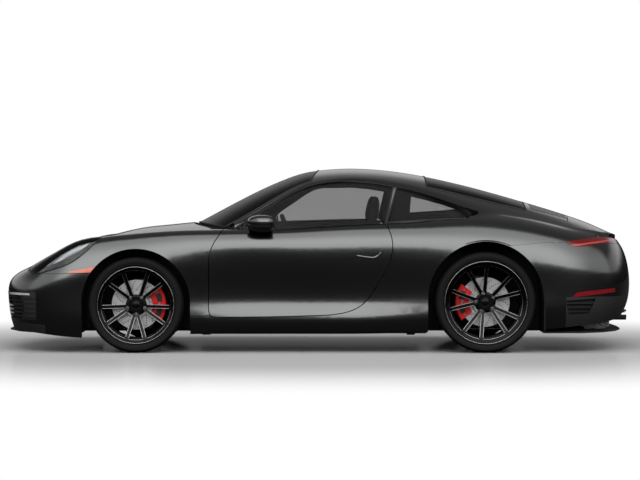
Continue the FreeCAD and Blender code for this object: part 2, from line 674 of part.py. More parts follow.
def mirrored_plan(chain):
    return [(x, -y) for x, y in chain]


SCREEN_HEAD = [SCREEN_SIDE[-1], (-10, 0), (SCREEN_SIDE[-1][0], -SCREEN_SIDE[-1][1])]
SCREEN = [mirrored_plan(SCREEN_HALF)[:0:-1] + SCREEN_HALF, SCREEN_SIDE, SCREEN_HEAD,
          mirrored_plan(SCREEN_SIDE)[::-1]]
windscreen = biggest(top_piece(SCREEN, -655, 120, GLASS, -1.0, -0.5))
ROOF = ring([SCREEN_SIDE[-1], (HEAD_X, ROOF_HALF), (BACK_TOP_X, ROOF_HALF),
             (BACK_TOP_X, -ROOF_HALF), (HEAD_X, -ROOF_HALF), (SCREEN_SIDE[-1][0], -568)])
roof = top_piece(ROOF, -230, 900, 22.0, 0.0)
roof = biggest(roof.cut(plan_block(SCREEN, 400, 1500, 1.5)))
BACK = ring([(BACK_TOP_X, ROOF_HALF), (BACK_FOOT_X, DECK_HALF), (BACK_FOOT_X, -DECK_HALF),
             (BACK_TOP_X, -ROOF_HALF)])
rear_window = biggest(top_piece(BACK, 700, 1560, GLASS, -1.0))
LID = ring([(LID_X[0], LID_HALF), (LID_X[1], LID_HALF), (LID_X[1], -LID_HALF),
            (LID_X[0], -LID_HALF)])
lid_arc = cylinder_y(LID_ARC, -700, 700, LID_HINGE[0], LID_HINGE[1])
engine_lid = biggest(top_piece(LID, 1400, 1860, 20.0, 0.0).common(lid_arc))
groove_skin = top_skin(1400, 1860, 26, 12.0, 2.0)
grooves = []
for k in range(9):
    for side in (-1, 1):
        y = side * (58 + k * 42)
        grooves.append(box(1512, 1778, y - 13, y + 13, 700, 1300))
engine_lid = biggest(engine_lid.cut(groove_skin.common(Part.makeCompound(grooves))))
side_glass = thick(glasshouse, steps(400, 1240, 20), steps(0, 1, 12), GLASS, -3.0, flip=-1)
quarter_window = biggest(side_glass.common(side_block(QUARTER_WINDOW, 300, 1100, 0.0)))
side_glass = thick(glass_line, steps(-600, 560, 26), steps(-0.08, 1, 14), GLASS, -3.0, flip=-1)
door_glass = side_glass.common(side_block(DOOR_WINDOW, 300, 1100, 0.0)).cut(door)
door_glass = biggest(door_glass)

# bonnet
bonnet_skin = thick(bonnet, steps(-2100, -700, 26), steps(-740, 740, 13), 20.0, dv=2.0)
bonnet_lid = biggest(bonnet_skin.common(plan_block(bonnet_plan, 400, 1100, -SHUT)))


# spoiler and the slatted deck between rear window and tail
def deck(x, w):
    rail = RAIL_LINE(x)
    spine = SPINE_LINE(x)
    edge = edge_at(x)
    y = w * max(edge.y, rail.y)
    a = abs(y) / rail.y
    z = rail.z + (spine.z - rail.z) * (1 - a ** ROOF_POWER)
    if edge.y > rail.y and a > 1:
        z = rail.z + (edge.z - rail.z) * (abs(y) - rail.y) / (edge.y - rail.y)
    return V(x, y, z)


TAIL_CORNER_X = 1935.0
tail_edge = []
for u in (2040, 2150, 2294, 2430, 2580, 2750, TAIL):
    p = BAND_LINES[6](u)
    tail_edge.append((p.x, p.y))
CORNER = (TAIL_CORNER_X, 720.0)
rear_plan = [(x, y) for x, y in tail_edge] + [(x, -y) for x, y in reversed(tail_edge[:-1])]
SPOILER = [rear_plan, [rear_plan[-1], (TAIL_CORNER_X, -720)],
           [(TAIL_CORNER_X, -720), (TAIL_CORNER_X, -SPOILER_HALF)],
           [(TAIL_CORNER_X, -SPOILER_HALF), (SPOILER_X, -SPOILER_HALF)],
           [(SPOILER_X, -SPOILER_HALF), (SPOILER_X, -DECK_HALF)],
           [(SPOILER_X, -DECK_HALF), (1730, -DECK_HALF)],
           [(1730, -DECK_HALF), (1730, DECK_HALF)], [(1730, DECK_HALF), (SPOILER_X, DECK_HALF)],
           [(SPOILER_X, DECK_HALF), (SPOILER_X, SPOILER_HALF)],
           [(SPOILER_X, SPOILER_HALF), (TAIL_CORNER_X, SPOILER_HALF)],
           [(TAIL_CORNER_X, SPOILER_HALF), CORNER], [CORNER, rear_plan[0]]]
UNDER_SPOILER = [LAMP_TOP[1:], [LAMP_TOP[-1], (2240, 400)], [(2240, 400), (LAMP_TOP[1][0], 400)],
                 [(LAMP_TOP[1][0], 400), LAMP_TOP[1]]]
spoiler = thick(deck, steps(1700, 2170, 16), steps(-1, 1, 33), 44.0)
spoiler = spoiler.common(plan_block(SPOILER, 400, 1500))
spoiler = spoiler.cut(side_block(UNDER_SPOILER, -1100, 1100, 1.0))
lid_gap = cylinder_y(LID_ARC + 6, -700, 700, LID_HINGE[0], LID_HINGE[1])
spoiler = biggest(spoiler.cut(lid_gap))


# wheels, brakes and uprights, positive y
def turned(points, y0=0.0):
    wire = Part.makePolygon([V(0, y, r) for r, y in points] + [V(0, points[0][1], points[0][0])])
    return Part.Face(wire).revolve(V(0, 0, 0), V(0, 1, 0), 360)


def tyre(a):
    half = a["tyre_w"] / 2
    r = a["tyre_r"]
    seat = a["seat_r"] + 0.2
    lip = a["lip_r"]
    side = [(seat, half - 18.4), (lip + 0.6, half - 14.4), (lip + 16, half - 1),
            (r - 30, half), (r - 8, half - 14), (r, half - 40)]
    lining = [(r - 14, half - 34), (seat + 30, half - 18), (seat, half - 40)]
    points = side + [(q, -y) for q, y in reversed(side)]
    points += [(q, -y) for q, y in reversed(lining)] + lining
    return turned(points)


def spoke(a, angle, turn):
    root = 62.0
    tip = a["seat_r"] - 4.0
    outer = a["tyre_w"] / 2 - 10.0
    face_in = 62.0
    face_out = outer - 4.0
    deep = 24.0
    points = [V(0, face_in, root), V(0, face_in - deep, root),
              V(0, face_out - deep, tip), V(0, face_out, tip)]
    wedge = Part.Face(Part.makePolygon(points + [points[0]]))
    bar = wedge.extrude(V(24, 0, 0))
    bar.translate(V(-12, 0, 0))
    bar.rotate(V(0, 0, root), V(0, 1, 0), turn)
    bar.rotate(V(0, 0, 0), V(0, 1, 0), angle)
    return bar


def rim(a):
    half = a["tyre_w"] / 2
    seat = a["seat_r"]
    lip = a["lip_r"]
    well = seat - 16.0
    flange = half - 6.0
    barrel = turned([(lip, flange), (lip, flange - 8), (seat, flange - 12), (seat, half - 46),
                     (well, half - 60), (well, 60 - half), (seat, 46 - half),
                     (seat, 12 - flange), (lip, 8 - flange), (lip, -flange),
                     (lip - 8, -flange), (seat - 8, 14 - flange), (seat - 8, 40 - half),
                     (well - 8, 54 - half), (well - 8, half - 54), (seat - 9, half - 40),
                     (seat - 9, flange - 14), (lip - 8, flange)])
    hub = turned([(HUB_BORE, 36), (74, 36), (74, 56), (58, 64), (HUB_BORE, 64)])
    cap = turned([(0.0, 58), (HUB_BORE + 1, 58), (HUB_BORE + 1, 66), (0.0, 70)])
    bars = []
    for k in range(5):
        for side in (-1, 1):
            bars.append(spoke(a, a["spoke_turn"] + k * 72.0 + side * 9.0, side * 8.0))
    body = barrel.multiFuse([hub, cap] + bars)
    keep = turned([(0.0, -half), (seat - 2, -half), (seat - 2, half), (0.0, half)])
    return biggest(body.common(keep.fuse(barrel)))


def disc(a):
    plate = turned([(92, -10), (a["disc_r"], -10), (a["disc_r"], 10), (92, 10)])
    hat = turned([(HUB_BORE + 0.05, 27.7), (HUB_BORE + 0.05, 35.7), (88, 35.7), (94, 10),
                  (94, 2), (84, 10), (82, 27.7)])
    return biggest(plate.fuse(hat))


def caliper(a):
    r_in = 112.0
    r_out = a["disc_r"] + 34.0
    body = turned([(r_in, -46), (r_out - 6, -46), (r_out, -40), (r_out, 24), (r_out - 8, 30),
                   (r_in, 30)])
    slot = turned([(60, -16), (a["disc_r"] + 6, -16), (a["disc_r"] + 6, 16), (60, 16)])
    body = body.cut(slot)
    wedge = Part.makeCylinder(400, 300, V(0, -150, 0), V(0, 1, 0), 76)
    wedge.rotate(V(0, 0, 0), V(0, 1, 0), a["caliper_turn"])
    return biggest(body.common(wedge))


def upright(a, bored):
    stub = cylinder_y(HUB_BORE - 0.05, -60, 57.5)
    plate = turned([(0.0, -62), (60, -62), (60, -24), (0.0, -24)])
    carrier = box(-40, 40, -62, -34, -140, 140)
    bracket = box(35, 190, -62, -46, -32, 32)
    if not bored:
        bracket = bracket.translated(V(-225, 0, 0))
    body = biggest(fused([stub, plate, carrier, bracket]))
    if bored:
        for z in (-141, 91):
            hole = Part.makeCylinder(PIN_R + 0.05, 50, V(0, KINGPIN_Y - a["y"], z), V(0, 0, 1))
            body = body.cut(hole)
    return body


def placed(shape, a):
    return shape.translated(V(a["x"], a["y"], a["tyre_r"]))


def suspension(a, steered):
    x = a["x"]
    z = a["tyre_r"]
    y_in = a["y"] - 62.0
    base = box(x - 150, x + 150, 0, 452, 144, 204)
    tower = box(x - 45, x + 45, 380, 452, 200, z + 175)
    lower = box(x - 26, x + 26, 450, y_in + 32, z - 168, z - 142)
    upper = box(x - 26, x + 26, 450, y_in + 32, z + 142, z + 168)
    bars = [base, tower, lower, upper]
    if steered:
        bars.append(Part.makeCylinder(PIN_R, 50, V(x, KINGPIN_Y, z - 145)))
        bars.append(Part.makeCylinder(PIN_R, 50, V(x, KINGPIN_Y, z + 95)))
    else:
        bars.append(box(x - 26, x + 26, y_in, y_in + 28, z - 145, z - 140))
        bars.append(box(x - 26, x + 26, y_in, y_in + 28, z + 140, z + 145))
    half = fused(bars)
    return biggest(half.fuse(mirrored(half)))


wheel_parts = {}
for axle, a in AXLE.items():
    wheel_parts[axle] = {
        "tyre": placed(tyre(a), a),
        "rim": placed(rim(a), a),
        "disc": placed(disc(a), a),
        "caliper": placed(caliper(a), a),
        "knuckle": placed(upright(a, axle == "front"), a),
    }


# inner arches behind the skins
def inner_arch(a, skins):
    r = a["arch_r"] + 5
    y_in = a["y"] - 315.0
    shell = cylinder_y(r + 5, y_in, 915, a["x"], a["arch_z"])
    shell = shell.cut(cylinder_y(r, y_in + 5, 916, a["x"], a["arch_z"]))
    leg = box(a["x"] - r - 5, a["x"] - r, y_in, 915, 150, a["arch_z"])
    legs = leg.fuse(leg.translated(V(2 * r + 5, 0, 0)))
    wall = box(a["x"] - r, a["x"] + r, y_in, y_in + 5, 150, a["arch_z"])
    shell = shell.cut(box(a["x"] - r - 9, a["x"] + r + 9, 0, 1100, -200, a["arch_z"]))
    shell = shell.multiFuse([legs, wall])
    z = a["tyre_r"]
    shell = shell.cut(box(a["x"] - 90, a["x"] + 90, y_in - 1, y_in + 6, z - 180, z + 180))
    for skin in skins:
        shell = shell.cut(skin)
    shell = shell.cut(side_block(DOOR_LINES, 400, 1100, SHUT / 2))
    return biggest(shell)


front_liner = inner_arch(AXLE["front"], [wing, bumper, marker])
rear_liner = inner_arch(AXLE["rear"], [quarter, rear_bumper])

# scuttle between bonnet and windscreen
scuttle = thick(bonnet, steps(-960, -560, 10), steps(-740, 740, 13), 8.0, -14.0, dv=2.0)
SCUTTLE = [[(-754, -694), (-745, -672)],
           [(-745, -672)] + mirrored_plan(COWL_LINE[1:-1])[::-1] + COWL_LINE[:-1] + [(-745, 672)],
           [(-745, 672), (-754, 694)], [(-754, 694), (-640, 726)], [(-640, 726), (-640, -726)],
           [(-640, -726), (-754, -694)]]
scuttle = scuttle.common(plan_block(SCUTTLE, 400, 1100))

# floor, sills inside, posts, bulkheads and shelf as one welded frame
axle_f = AXLE["front"]
axle_r = AXLE["rear"]
front_gap = axle_f["arch_r"] + 10
rear_gap = axle_r["arch_r"] + 10
FLOOR_Z = 132.0
PAD_Z = 121.0
SILL_Y = 700.0
PLATE = 12.0
y_f = axle_f["y"] - 315.0
y_r = axle_r["y"] - 315.0
floor_half = [(-2240, 0), (-2240, 300), (-2140, 560), (-2000, 720), (-1900, 800),
              (FRONT_AXLE_X - front_gap, 800), (FRONT_AXLE_X - front_gap, y_f),
              (FRONT_AXLE_X + front_gap, y_f), (FRONT_AXLE_X + front_gap, SILL_Y),
              (REAR_AXLE_X - rear_gap, SILL_Y), (REAR_AXLE_X - rear_gap, y_r),
              (REAR_AXLE_X + rear_gap, y_r), (REAR_AXLE_X + rear_gap, 800), (1850, 800),
              (2000, 690), (2110, 520), (2170, 300), (2180, 0)]
floor_points = floor_half + [(x, -y) for x, y in reversed(floor_half[1:-1])]
floor = Part.Face(Part.makePolygon([V(x, y, FLOOR_Z) for x, y in floor_points + floor_points[:1]]))
floor = floor.extrude(V(0, 0, PLATE)).cut(bumper).cut(rear_bumper)
top_z = FLOOR_Z + PLATE
firewall = box(-899.5, -889.5, -639, 639, top_z - 2, 800)
bulkhead = box(990, 1000, -y_r, y_r, top_z - 2, 880)
shelf = box(990, 1440, -560, 560, 872, 882)
lid_above = thick(top, steps(1600, 1760, 6), steps(-1, 1, 25), 70.3, 50.0)
stop = box(1660, 1690, 380, 410, top_z - 2, 1100).cut(lid_above)
stop = min(stop.Solids, key=lambda q: q.BoundBox.ZMin)
floor_pan = biggest(fused([biggest(floor), firewall, bulkhead, shelf, stop, mirrored(stop)]))

# inner sill with hinge post and lugs, one side
rocker = box(FRONT_AXLE_X + front_gap, REAR_AXLE_X - rear_gap, SILL_Y, 815, FLOOR_Z, 236)
post = box(FRONT_AXLE_X + front_gap, -797, 640, 815, 230, 760)
inner_sill = rocker.fuse(post)
for x in (-800, 640):
    inner_sill = inner_sill.fuse(Part.makeCylinder(30, 14, V(x, 765, PAD_Z)))
lug_key = side_block(DOOR_LINES, 400, 1100, -25.7)
for z in (400, 620):
    lug = box(-800, -740, 782, 815, z, z + 40).cut(lug_key)
    inner_sill = inner_sill.fuse(biggest(lug))
inner_sill = biggest(inner_sill)

# luggage tub, engine block, silencer with tail pipes
tub = box(-1760, -925, -370, 370, 215, 700).cut(box(-1752, -933, -362, 362, 223, 701))
bonnet_above = thick(bonnet, steps(-1760, -1640, 6), steps(-500, 500, 13), 70.3, 50.0, dv=2.0)
buffer = box(-1712, -1688, 350, 380, 690, 900).cut(bonnet_above)
buffer = min(buffer.Solids, key=lambda q: q.BoundBox.ZMin)
tub = fused([tub, buffer, mirrored(buffer)])
rib = box(-1755, -1450, -200, 200, FLOOR_Z + PLATE, 216)
tub = biggest(tub.fuse(rib))
engine = box(1312, 1780, -330, 330, top_z, 600)
silencer = box(1880, 2080, -420, 420, top_z + 16, 340)
pipes = []
bores = []
for y in (-PIPE["y"], PIPE["y"]):
    end_x = PIPE["x"]
    pipes.append(Part.makeCylinder(PIPE["r"], end_x - 2060, V(2060, y, PIPE["z"]), V(1, 0, 0)))
    bores.append(Part.makeCylinder(PIPE["r"] - 4, 90, V(end_x - 80, y, PIPE["z"]), V(1, 0, 0)))
exhaust = fused([silencer] + pipes).cut(Part.makeCompound(bores))
exhaust = exhaust.fuse(box(1900, 2060, -400, 400, top_z, top_z + 20))


# seats
def soft(points, y0, y1, r):
    wire = Part.makePolygon([V(x, y0, z) for x, z in points + points[:1]])
    solid = Part.Face(wire).extrude(V(0, y1 - y0, 0))
    return solid.makeFillet(r, solid.Edges)


def front_seat(y):
    base = box(-170, 330, y - 190, y + 190, top_z, 300)
    cushion = soft([(-260, 300), (-230, 440), (250, 400), (330, 300)], y - 250, y + 250, 28)
    back = soft([(290, 330), (210, 420), (330, 900), (392, 900), (420, 600), (400, 330)],
                y - 240, y + 240, 26)
    head = soft([(322, 880), (366, 1118), (440, 1112), (420, 880)], y - 120, y + 120, 26)
    return biggest(fused([base, cushion, back, head]))


def rear_seat(y):
    cushion = soft([(560, 330), (560, 430), (860, 400), (860, 330)], y - 200, y + 200, 20)
    back = soft([(830, 400), (900, 860), (985, 860), (985, 330), (830, 330)], y - 200,
                y + 200, 20)
    base = box(580, 980, y - 190, y + 190, top_z, 340)
    return biggest(fused([base, cushion, back]))


seat = front_seat(372)
back_seat = rear_seat(235)
dash_points = [(-640, 640), (-640, 850), (-560, 872), (-420, 862), (-330, 800), (-340, 700),
               (-420, 600)]
dashboard = Part.Face(Part.makePolygon([V(x, -690, z) for x, z in dash_points + dash_points[:1]]))
dashboard = dashboard.extrude(V(0, 1380, 0))
console = box(-560, 430, -120, 120, top_z, 420)
console = console.fuse(box(-600, -420, -120, 120, 400, 640))
column = Part.makeCylinder(22, 127.2, V(-350, -372, 742), V(1, 0, 0.36))
WHEEL_AXIS = V(1, 0, 0.36)
WHEEL_AT = V(-215, -372, 790.6)
scuttle_above = thick(bonnet, steps(-690, -600, 6), steps(-260, 260, 7), 72.3, 50.0, dv=2.0)
bracket = box(-668, dash_points[0][0], -220, 220, 800, 940).cut(scuttle_above)
bracket = min(bracket.Solids, key=lambda q: q.BoundBox.ZMin)
dashboard = fused([dashboard, column, bracket])
console = biggest(console.cut(dashboard))


def steering():
    rim_ring = Part.makeTorus(175, 15)
    hub = Part.makeCylinder(48, 30, V(0, 0, -16))
    arms = [Part.makeBox(150, 30, 12, V(20, -15, -6)), Part.makeBox(150, 30, 12, V(-170, -15, -6)),
            Part.makeBox(30, 150, 12, V(-15, -170, -6))]
    whole = fused([rim_ring, hub] + arms)
    whole.Placement = FreeCAD.Placement(WHEEL_AT, FreeCAD.Rotation(V(0, 0, 1), WHEEL_AXIS))
    return whole


steering_wheel = steering()


# door mirror: shell on a foot that stands on the door
def mirror():
    ball = Part.makeSphere(1.0)
    m = FreeCAD.Matrix()
    m.scale(112, 112, 68)
    shell = ball.transformGeometry(m)
    shell.translate(V(-410, 902, 905))
    shell = shell.common(box(-540, -326, 700, 1100, 700, 1100))
    foot = Part.makePolygon([V(-520, 770, 838), V(-400, 770, 838), V(-390, 900, 880),
                             V(-470, 900, 880), V(-520, 770, 838)])
    foot = Part.Face(foot).extrude(V(0, 0, 22))
    return biggest(shell.fuse(foot).cut(door).cut(door_glass))


mirror_shape = mirror()

# all nodes by name
nodes = {}


def pair(name, shape):
    nodes[name] = both(shape)


def sided(name, shape):
    nodes[name + "_right"] = shape
    nodes[name + "_left"] = mirrored(shape)


nodes["floor_pan"] = floor_pan
pair("inner_sills", inner_sill)
nodes["front_bumper"] = bumper
nodes["rear_bumper"] = biggest(rear_bumper)
nodes["roof"] = roof
nodes["windscreen"] = windscreen
nodes["rear_window"] = rear_window
nodes["scuttle"] = biggest(scuttle.cut(windscreen))
nodes["bonnet"] = bonnet_lid
nodes["engine_lid"] = engine_lid
nodes["spoiler"] = spoiler
nodes["tail_lamp"] = tail_lamp
pair("front_wings", wing)
pair("quarter_panels", quarter)
pair("sills", sill)
pair("roof_rails", rail)
pair("quarter_windows", quarter_window)
pair("headlamp_lenses", lamp_glass)
pair("headlamp_bowls", lamp_bowl)
nodes["arch_liners"] = Part.makeCompound([front_liner, mirrored(front_liner), rear_liner,
                                          mirrored(rear_liner)])
pair("side_markers", marker)
pair("day_lamps", day_lamp)
nodes["grilles"] = Part.makeCompound([side_grille, mirrored(side_grille), low_grille, rear_vent,
                                      mirrored(rear_vent)])
pair("rear_reflectors", reflector)
nodes["luggage_tub"] = tub
nodes["engine"] = engine
nodes["exhaust"] = biggest(exhaust)
nodes["front_suspension"] = suspension(axle_f, True)
nodes["rear_suspension"] = suspension(axle_r, False)
pair("front_seats", seat)
pair("rear_seats", back_seat)
nodes["dashboard"] = biggest(dashboard)
nodes["console"] = console
nodes["steering_wheel"] = steering_wheel
sided("door", door)
sided("door_glass", door_glass)
sided("mirror", mirror_shape)
sided("door_handle", handle)
sided("front_knuckle", wheel_parts["front"]["knuckle"])
sided("front_caliper", wheel_parts["front"]["caliper"])
pair("rear_knuckles", wheel_parts["rear"]["knuckle"])
pair("rear_calipers", wheel_parts["rear"]["caliper"])
for axle in AXLE:
    for name in ("tyre", "rim", "disc"):
        sided(axle + "_" + name, wheel_parts[axle][name])

os.makedirs("parts", exist_ok=True)
for name, shape in nodes.items():
    shape.exportStep("parts/" + name + ".step")
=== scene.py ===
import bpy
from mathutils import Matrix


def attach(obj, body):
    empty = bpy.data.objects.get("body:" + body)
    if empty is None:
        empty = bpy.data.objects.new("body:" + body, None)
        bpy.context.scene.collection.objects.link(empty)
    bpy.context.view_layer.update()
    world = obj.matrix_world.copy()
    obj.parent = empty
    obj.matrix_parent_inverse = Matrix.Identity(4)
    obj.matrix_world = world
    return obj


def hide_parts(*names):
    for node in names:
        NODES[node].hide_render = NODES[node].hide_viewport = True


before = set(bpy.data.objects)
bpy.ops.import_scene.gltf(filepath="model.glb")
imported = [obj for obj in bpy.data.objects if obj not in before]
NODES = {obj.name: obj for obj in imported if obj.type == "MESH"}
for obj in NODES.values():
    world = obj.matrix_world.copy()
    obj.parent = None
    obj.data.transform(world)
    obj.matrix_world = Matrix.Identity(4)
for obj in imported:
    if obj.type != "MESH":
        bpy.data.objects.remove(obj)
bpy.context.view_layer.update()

import math

import bmesh
import bpy
from mathutils import Matrix, Vector
from mathutils.bvhtree import BVHTree


# The camera: the car stands side on, its nose to the left, 18 m from a long lens held at chest
# height. The lens is level but for one degree, so the wheels keep their round outline.
CAMERA_DISTANCE = 18.0
CAMERA_HEIGHT = 1.093
PICTURE_WIDTH = 640.0
PICTURE_MIDDLE = 240.0
HORIZON_ROW = 196.7
FOCAL_PIXELS = 2446.0
SENSOR_WIDTH = 36.0


def placed(name, data):
    made = bpy.data.objects.new(name, data)
    bpy.context.scene.collection.objects.link(made)
    return made


lens = bpy.data.cameras.new("camera")
lens.sensor_width = SENSOR_WIDTH
lens.lens = FOCAL_PIXELS / PICTURE_WIDTH * SENSOR_WIDTH
camera = placed("camera", lens)
camera.location = (0.0, -CAMERA_DISTANCE, CAMERA_HEIGHT)
downward = math.atan((PICTURE_MIDDLE - HORIZON_ROW) / FOCAL_PIXELS)
camera.rotation_euler = (math.radians(90.0) - downward, 0.0, 0.0)
bpy.context.scene.camera = camera
bpy.context.scene.view_settings.view_transform = "Standard"


# The studio: a white floor that keeps the car's soft shadow, a white backdrop, a dark hall low down
# on the camera's side with a tall bright wall above it, and soft lamps overhead. Finishes are drawn
# on sheets of nodes, where a mark is a socket that can be added and multiplied.
class Mark:
    def __init__(self, sheet, socket):
        self.sheet = sheet
        self.socket = socket

    def maths(self, operation, first, second):
        return self.sheet.node("ShaderNodeMath", {"operation": operation}, {0: first, 1: second})

    def __add__(self, other):
        return self.maths("ADD", self, other)

    __radd__ = __add__

    def __sub__(self, other):
        return self.maths("SUBTRACT", self, other)

    def __rsub__(self, other):
        return self.maths("SUBTRACT", other, self)

    def __mul__(self, other):
        return self.maths("MULTIPLY", self, other)

    __rmul__ = __mul__

    def __truediv__(self, other):
        return self.maths("DIVIDE", self, other)

    def __pow__(self, other):
        return self.maths("POWER", self, other)

    def __gt__(self, other):
        return self.maths("GREATER_THAN", self, other)

    def __lt__(self, other):
        return self.maths("LESS_THAN", self, other)

    def __or__(self, other):
        return self.maths("MAXIMUM", self, other)

    def output(self, name):
        return Mark(self.sheet, self.socket.node.outputs[name])


class Sheet:
    def __init__(self, tree):
        self.tree = tree
        tree.nodes.clear()

    def node(self, kind, settings, sockets, output=0):
        made = self.tree.nodes.new(kind)
        for name, value in settings.items():
            setattr(made, name, value)
        for name, value in sockets.items():
            if isinstance(value, Mark):
                self.tree.links.new(value.socket, made.inputs[name])
            else:
                made.inputs[name].default_value = value
        return Mark(self, made.outputs[output])

    def place(self, space="Object"):
        return self.node("ShaderNodeTexCoord", {}, {}, space)

    def axis(self, name, space="Object"):
        return self.node("ShaderNodeSeparateXYZ", {}, {"Vector": self.place(space)}, name)

    def ramp(self, value, low, high):
        return self.node("ShaderNodeMapRange", {"interpolation_type": "SMOOTHSTEP"},
                         {"Value": value, "From Min": low, "From Max": high})

    def blend(self, factor, first, second):
        return self.node("ShaderNodeMixShader", {}, {0: factor, 1: first, 2: second})

    def plainly_seen(self):
        rays = self.node("ShaderNodeLightPath", {}, {}, "Is Camera Ray")
        return rays | rays.output("Is Transmission Ray")


class Finish(Sheet):
    def __init__(self, name):
        self.material = bpy.data.materials.new(name)
        self.material.use_nodes = True
        super().__init__(self.material.node_tree)

    def noise(self, scale, detail=2.0):
        return self.node("ShaderNodeTexNoise", {}, {"Vector": self.place(), "Scale": scale,
                                                    "Detail": detail, "Roughness": 0.5})

    def mixed(self, factor, first, second):
        return self.node("ShaderNodeMix", {"data_type": "RGBA"}, {0: factor, 6: first, 7: second}, 2)

    def bump(self, height, distance):
        return self.node("ShaderNodeBump", {}, {"Height": height, "Distance": distance,
                                                "Strength": 1.0}, "Normal")

    def solid(self, **sockets):
        named = {name.replace("_", " "): value for name, value in sockets.items()}
        return self.end(self.node("ShaderNodeBsdfPrincipled", {}, named))

    def end(self, skin):
        end = self.tree.nodes.new("ShaderNodeOutputMaterial")
        self.tree.links.new(skin.socket, end.inputs["Surface"])
        return self.material


def grey(value, tint=(1.0, 1.0, 1.0)):
    return (value * tint[0], value * tint[1], value * tint[2], 1.0)


FLOOR_HALF = 40.0
FLOOR_DROP = 0.001
SHADOW_LONG = 5.2
SHADOW_WIDE = 4.6
floor_mesh = bpy.data.meshes.new("floor")
floor_mesh.from_pydata([(FLOOR_HALF * x, FLOOR_HALF * y, -FLOOR_DROP)
                        for x, y in ((-1, -1), (1, -1), (1, 1), (-1, 1))], [], [(0, 1, 2, 3)])
floor = placed("floor", floor_mesh)

sheet = Finish("studio_floor")
seen = sheet.plainly_seen()
polished = sheet.node("ShaderNodeBsdfPrincipled", {}, {
    "Base Color": grey(0.93), "Roughness": 0.14 + 0.02 * sheet.noise(30.0, 1.0),
    "Specular IOR Level": 0.45})
unlit = sheet.node("ShaderNodeBsdfDiffuse", {}, {"Color": grey(0.03)})
glow = sheet.node("ShaderNodeEmission", {}, {"Color": grey(1.0), "Strength": 1.0})
along = sheet.axis("X") / SHADOW_LONG
across = sheet.axis("Y") / SHADOW_WIDE
fade = sheet.ramp((along * along + across * across) ** 0.5, 0.45, 1.0)
sheet.end(sheet.blend(fade * seen, sheet.blend(seen, unlit, polished), glow))
floor_mesh.materials.append(sheet.material)

HALL_LEVEL = 0.008
CEILING_LEVEL = 0.12
WALL_LEVEL = 2.5
FAR_WALL_LEVEL = 0.5
world = bpy.data.worlds.new("studio")
bpy.context.scene.world = world
world.use_nodes = True
sky = Sheet(world.node_tree)
up = sky.axis("Z", "Generated")
aside = sky.axis("X", "Generated")
near_side = 1.0 - sky.ramp(sky.axis("Y", "Generated"), -0.22, 0.06)
wall = sky.ramp(up, 0.07, 0.16) * (1.0 - 0.50 * sky.ramp(up, 0.35, 0.95))
wall = wall * (1.0 - 0.65 * sky.ramp(aside * aside, 0.12, 0.42))
far_wall = sky.ramp(up, 0.06, 0.16) * (1.0 - sky.ramp(up, 0.30, 0.55))
level = HALL_LEVEL + CEILING_LEVEL * sky.ramp(up, 0.25, 0.60)
level = level + WALL_LEVEL * near_side * wall + FAR_WALL_LEVEL * (1.0 - near_side) * far_wall
shade = sky.node("ShaderNodeCombineColor", {}, {0: level, 1: level, 2: level})
lit = sky.node("ShaderNodeBackground", {}, {"Color": shade, "Strength": 1.0})
white = sky.node("ShaderNodeBackground", {}, {"Color": grey(1.0), "Strength": 1.0})
both = sky.blend(sky.plainly_seen(), lit, white)
sky.tree.links.new(both.socket, sky.tree.nodes.new("ShaderNodeOutputWorld").inputs["Surface"])

LAMPS = [("lamp_near", (0.2, -5.5, 4.6), (6.0, 1.2), 90.0),
         ("lamp_far", (0.2, 9.0, 3.6), (7.0, 1.0), 90.0),
         ("lamp_top", (0.0, -0.6, 6.0), (5.0, 0.8), 110.0)]
LAMP_AIM = Vector((0.0, 0.0, 0.5))
for name, at, size, power in LAMPS:
    light = bpy.data.lights.new(name, "AREA")
    light.shape = "RECTANGLE"
    light.size, light.size_y = size
    light.energy = power
    holder = placed(name, light)
    holder.location = at
    holder.visible_glossy = False
    holder.rotation_euler = (LAMP_AIM - Vector(at)).to_track_quat("-Z", "Y").to_euler()


# The painted shell: pressed steel and aluminium panels, bonded and screwed to the body frame, all
# sprayed a very dark green-grey metallic under clear lacquer. Their inner sides are lined in black,
# and the lower parts of the moulded bumpers are left bare black.
PAINTED = ["front_bumper", "rear_bumper", "roof", "bonnet", "engine_lid", "spoiler", "front_wings",
           "quarter_panels", "sills", "roof_rails", "door_left", "door_right", "door_handle_left",
           "door_handle_right"]
FRONT_BARE_END = -1.93
FRONT_BARE_TOP = 0.077
FRONT_BARE_SLOPE = 0.06
REAR_BARE_START = 1.722
REAR_BARE_TOP = 0.392


def dress(names, material):
    for name in names:
        slots = NODES[name].data.materials
        slots.clear()
        slots.append(material)


sheet = Finish("dark_metallic_paint")
flakes = sheet.node("ShaderNodeTexVoronoi", {}, {"Vector": sheet.place(), "Scale": 1400.0})
cloud = sheet.noise(1.6)
tone = sheet.mixed(cloud * 0.5, grey(0.105, (0.96, 1.0, 0.98)), grey(0.125, (0.97, 1.0, 0.97)))
tone = sheet.mixed((flakes < 0.12) * 0.25, tone, grey(0.26, (0.97, 1.0, 0.99)))
side_of = sheet.node("ShaderNodeMath", {"operation": "SIGN"}, {0: sheet.axis("Y")})
inner = sheet.axis("Y", "Normal") * side_of + 0.7 * sheet.axis("Z", "Normal") < -0.30
low_front = sheet.axis("Z") + FRONT_BARE_SLOPE * sheet.axis("X") < FRONT_BARE_TOP
low_front = low_front * (sheet.axis("X") < FRONT_BARE_END)
low_rear = (sheet.axis("Z") < REAR_BARE_TOP) * (sheet.axis("X") > REAR_BARE_START)
lined = inner | low_front | low_rear
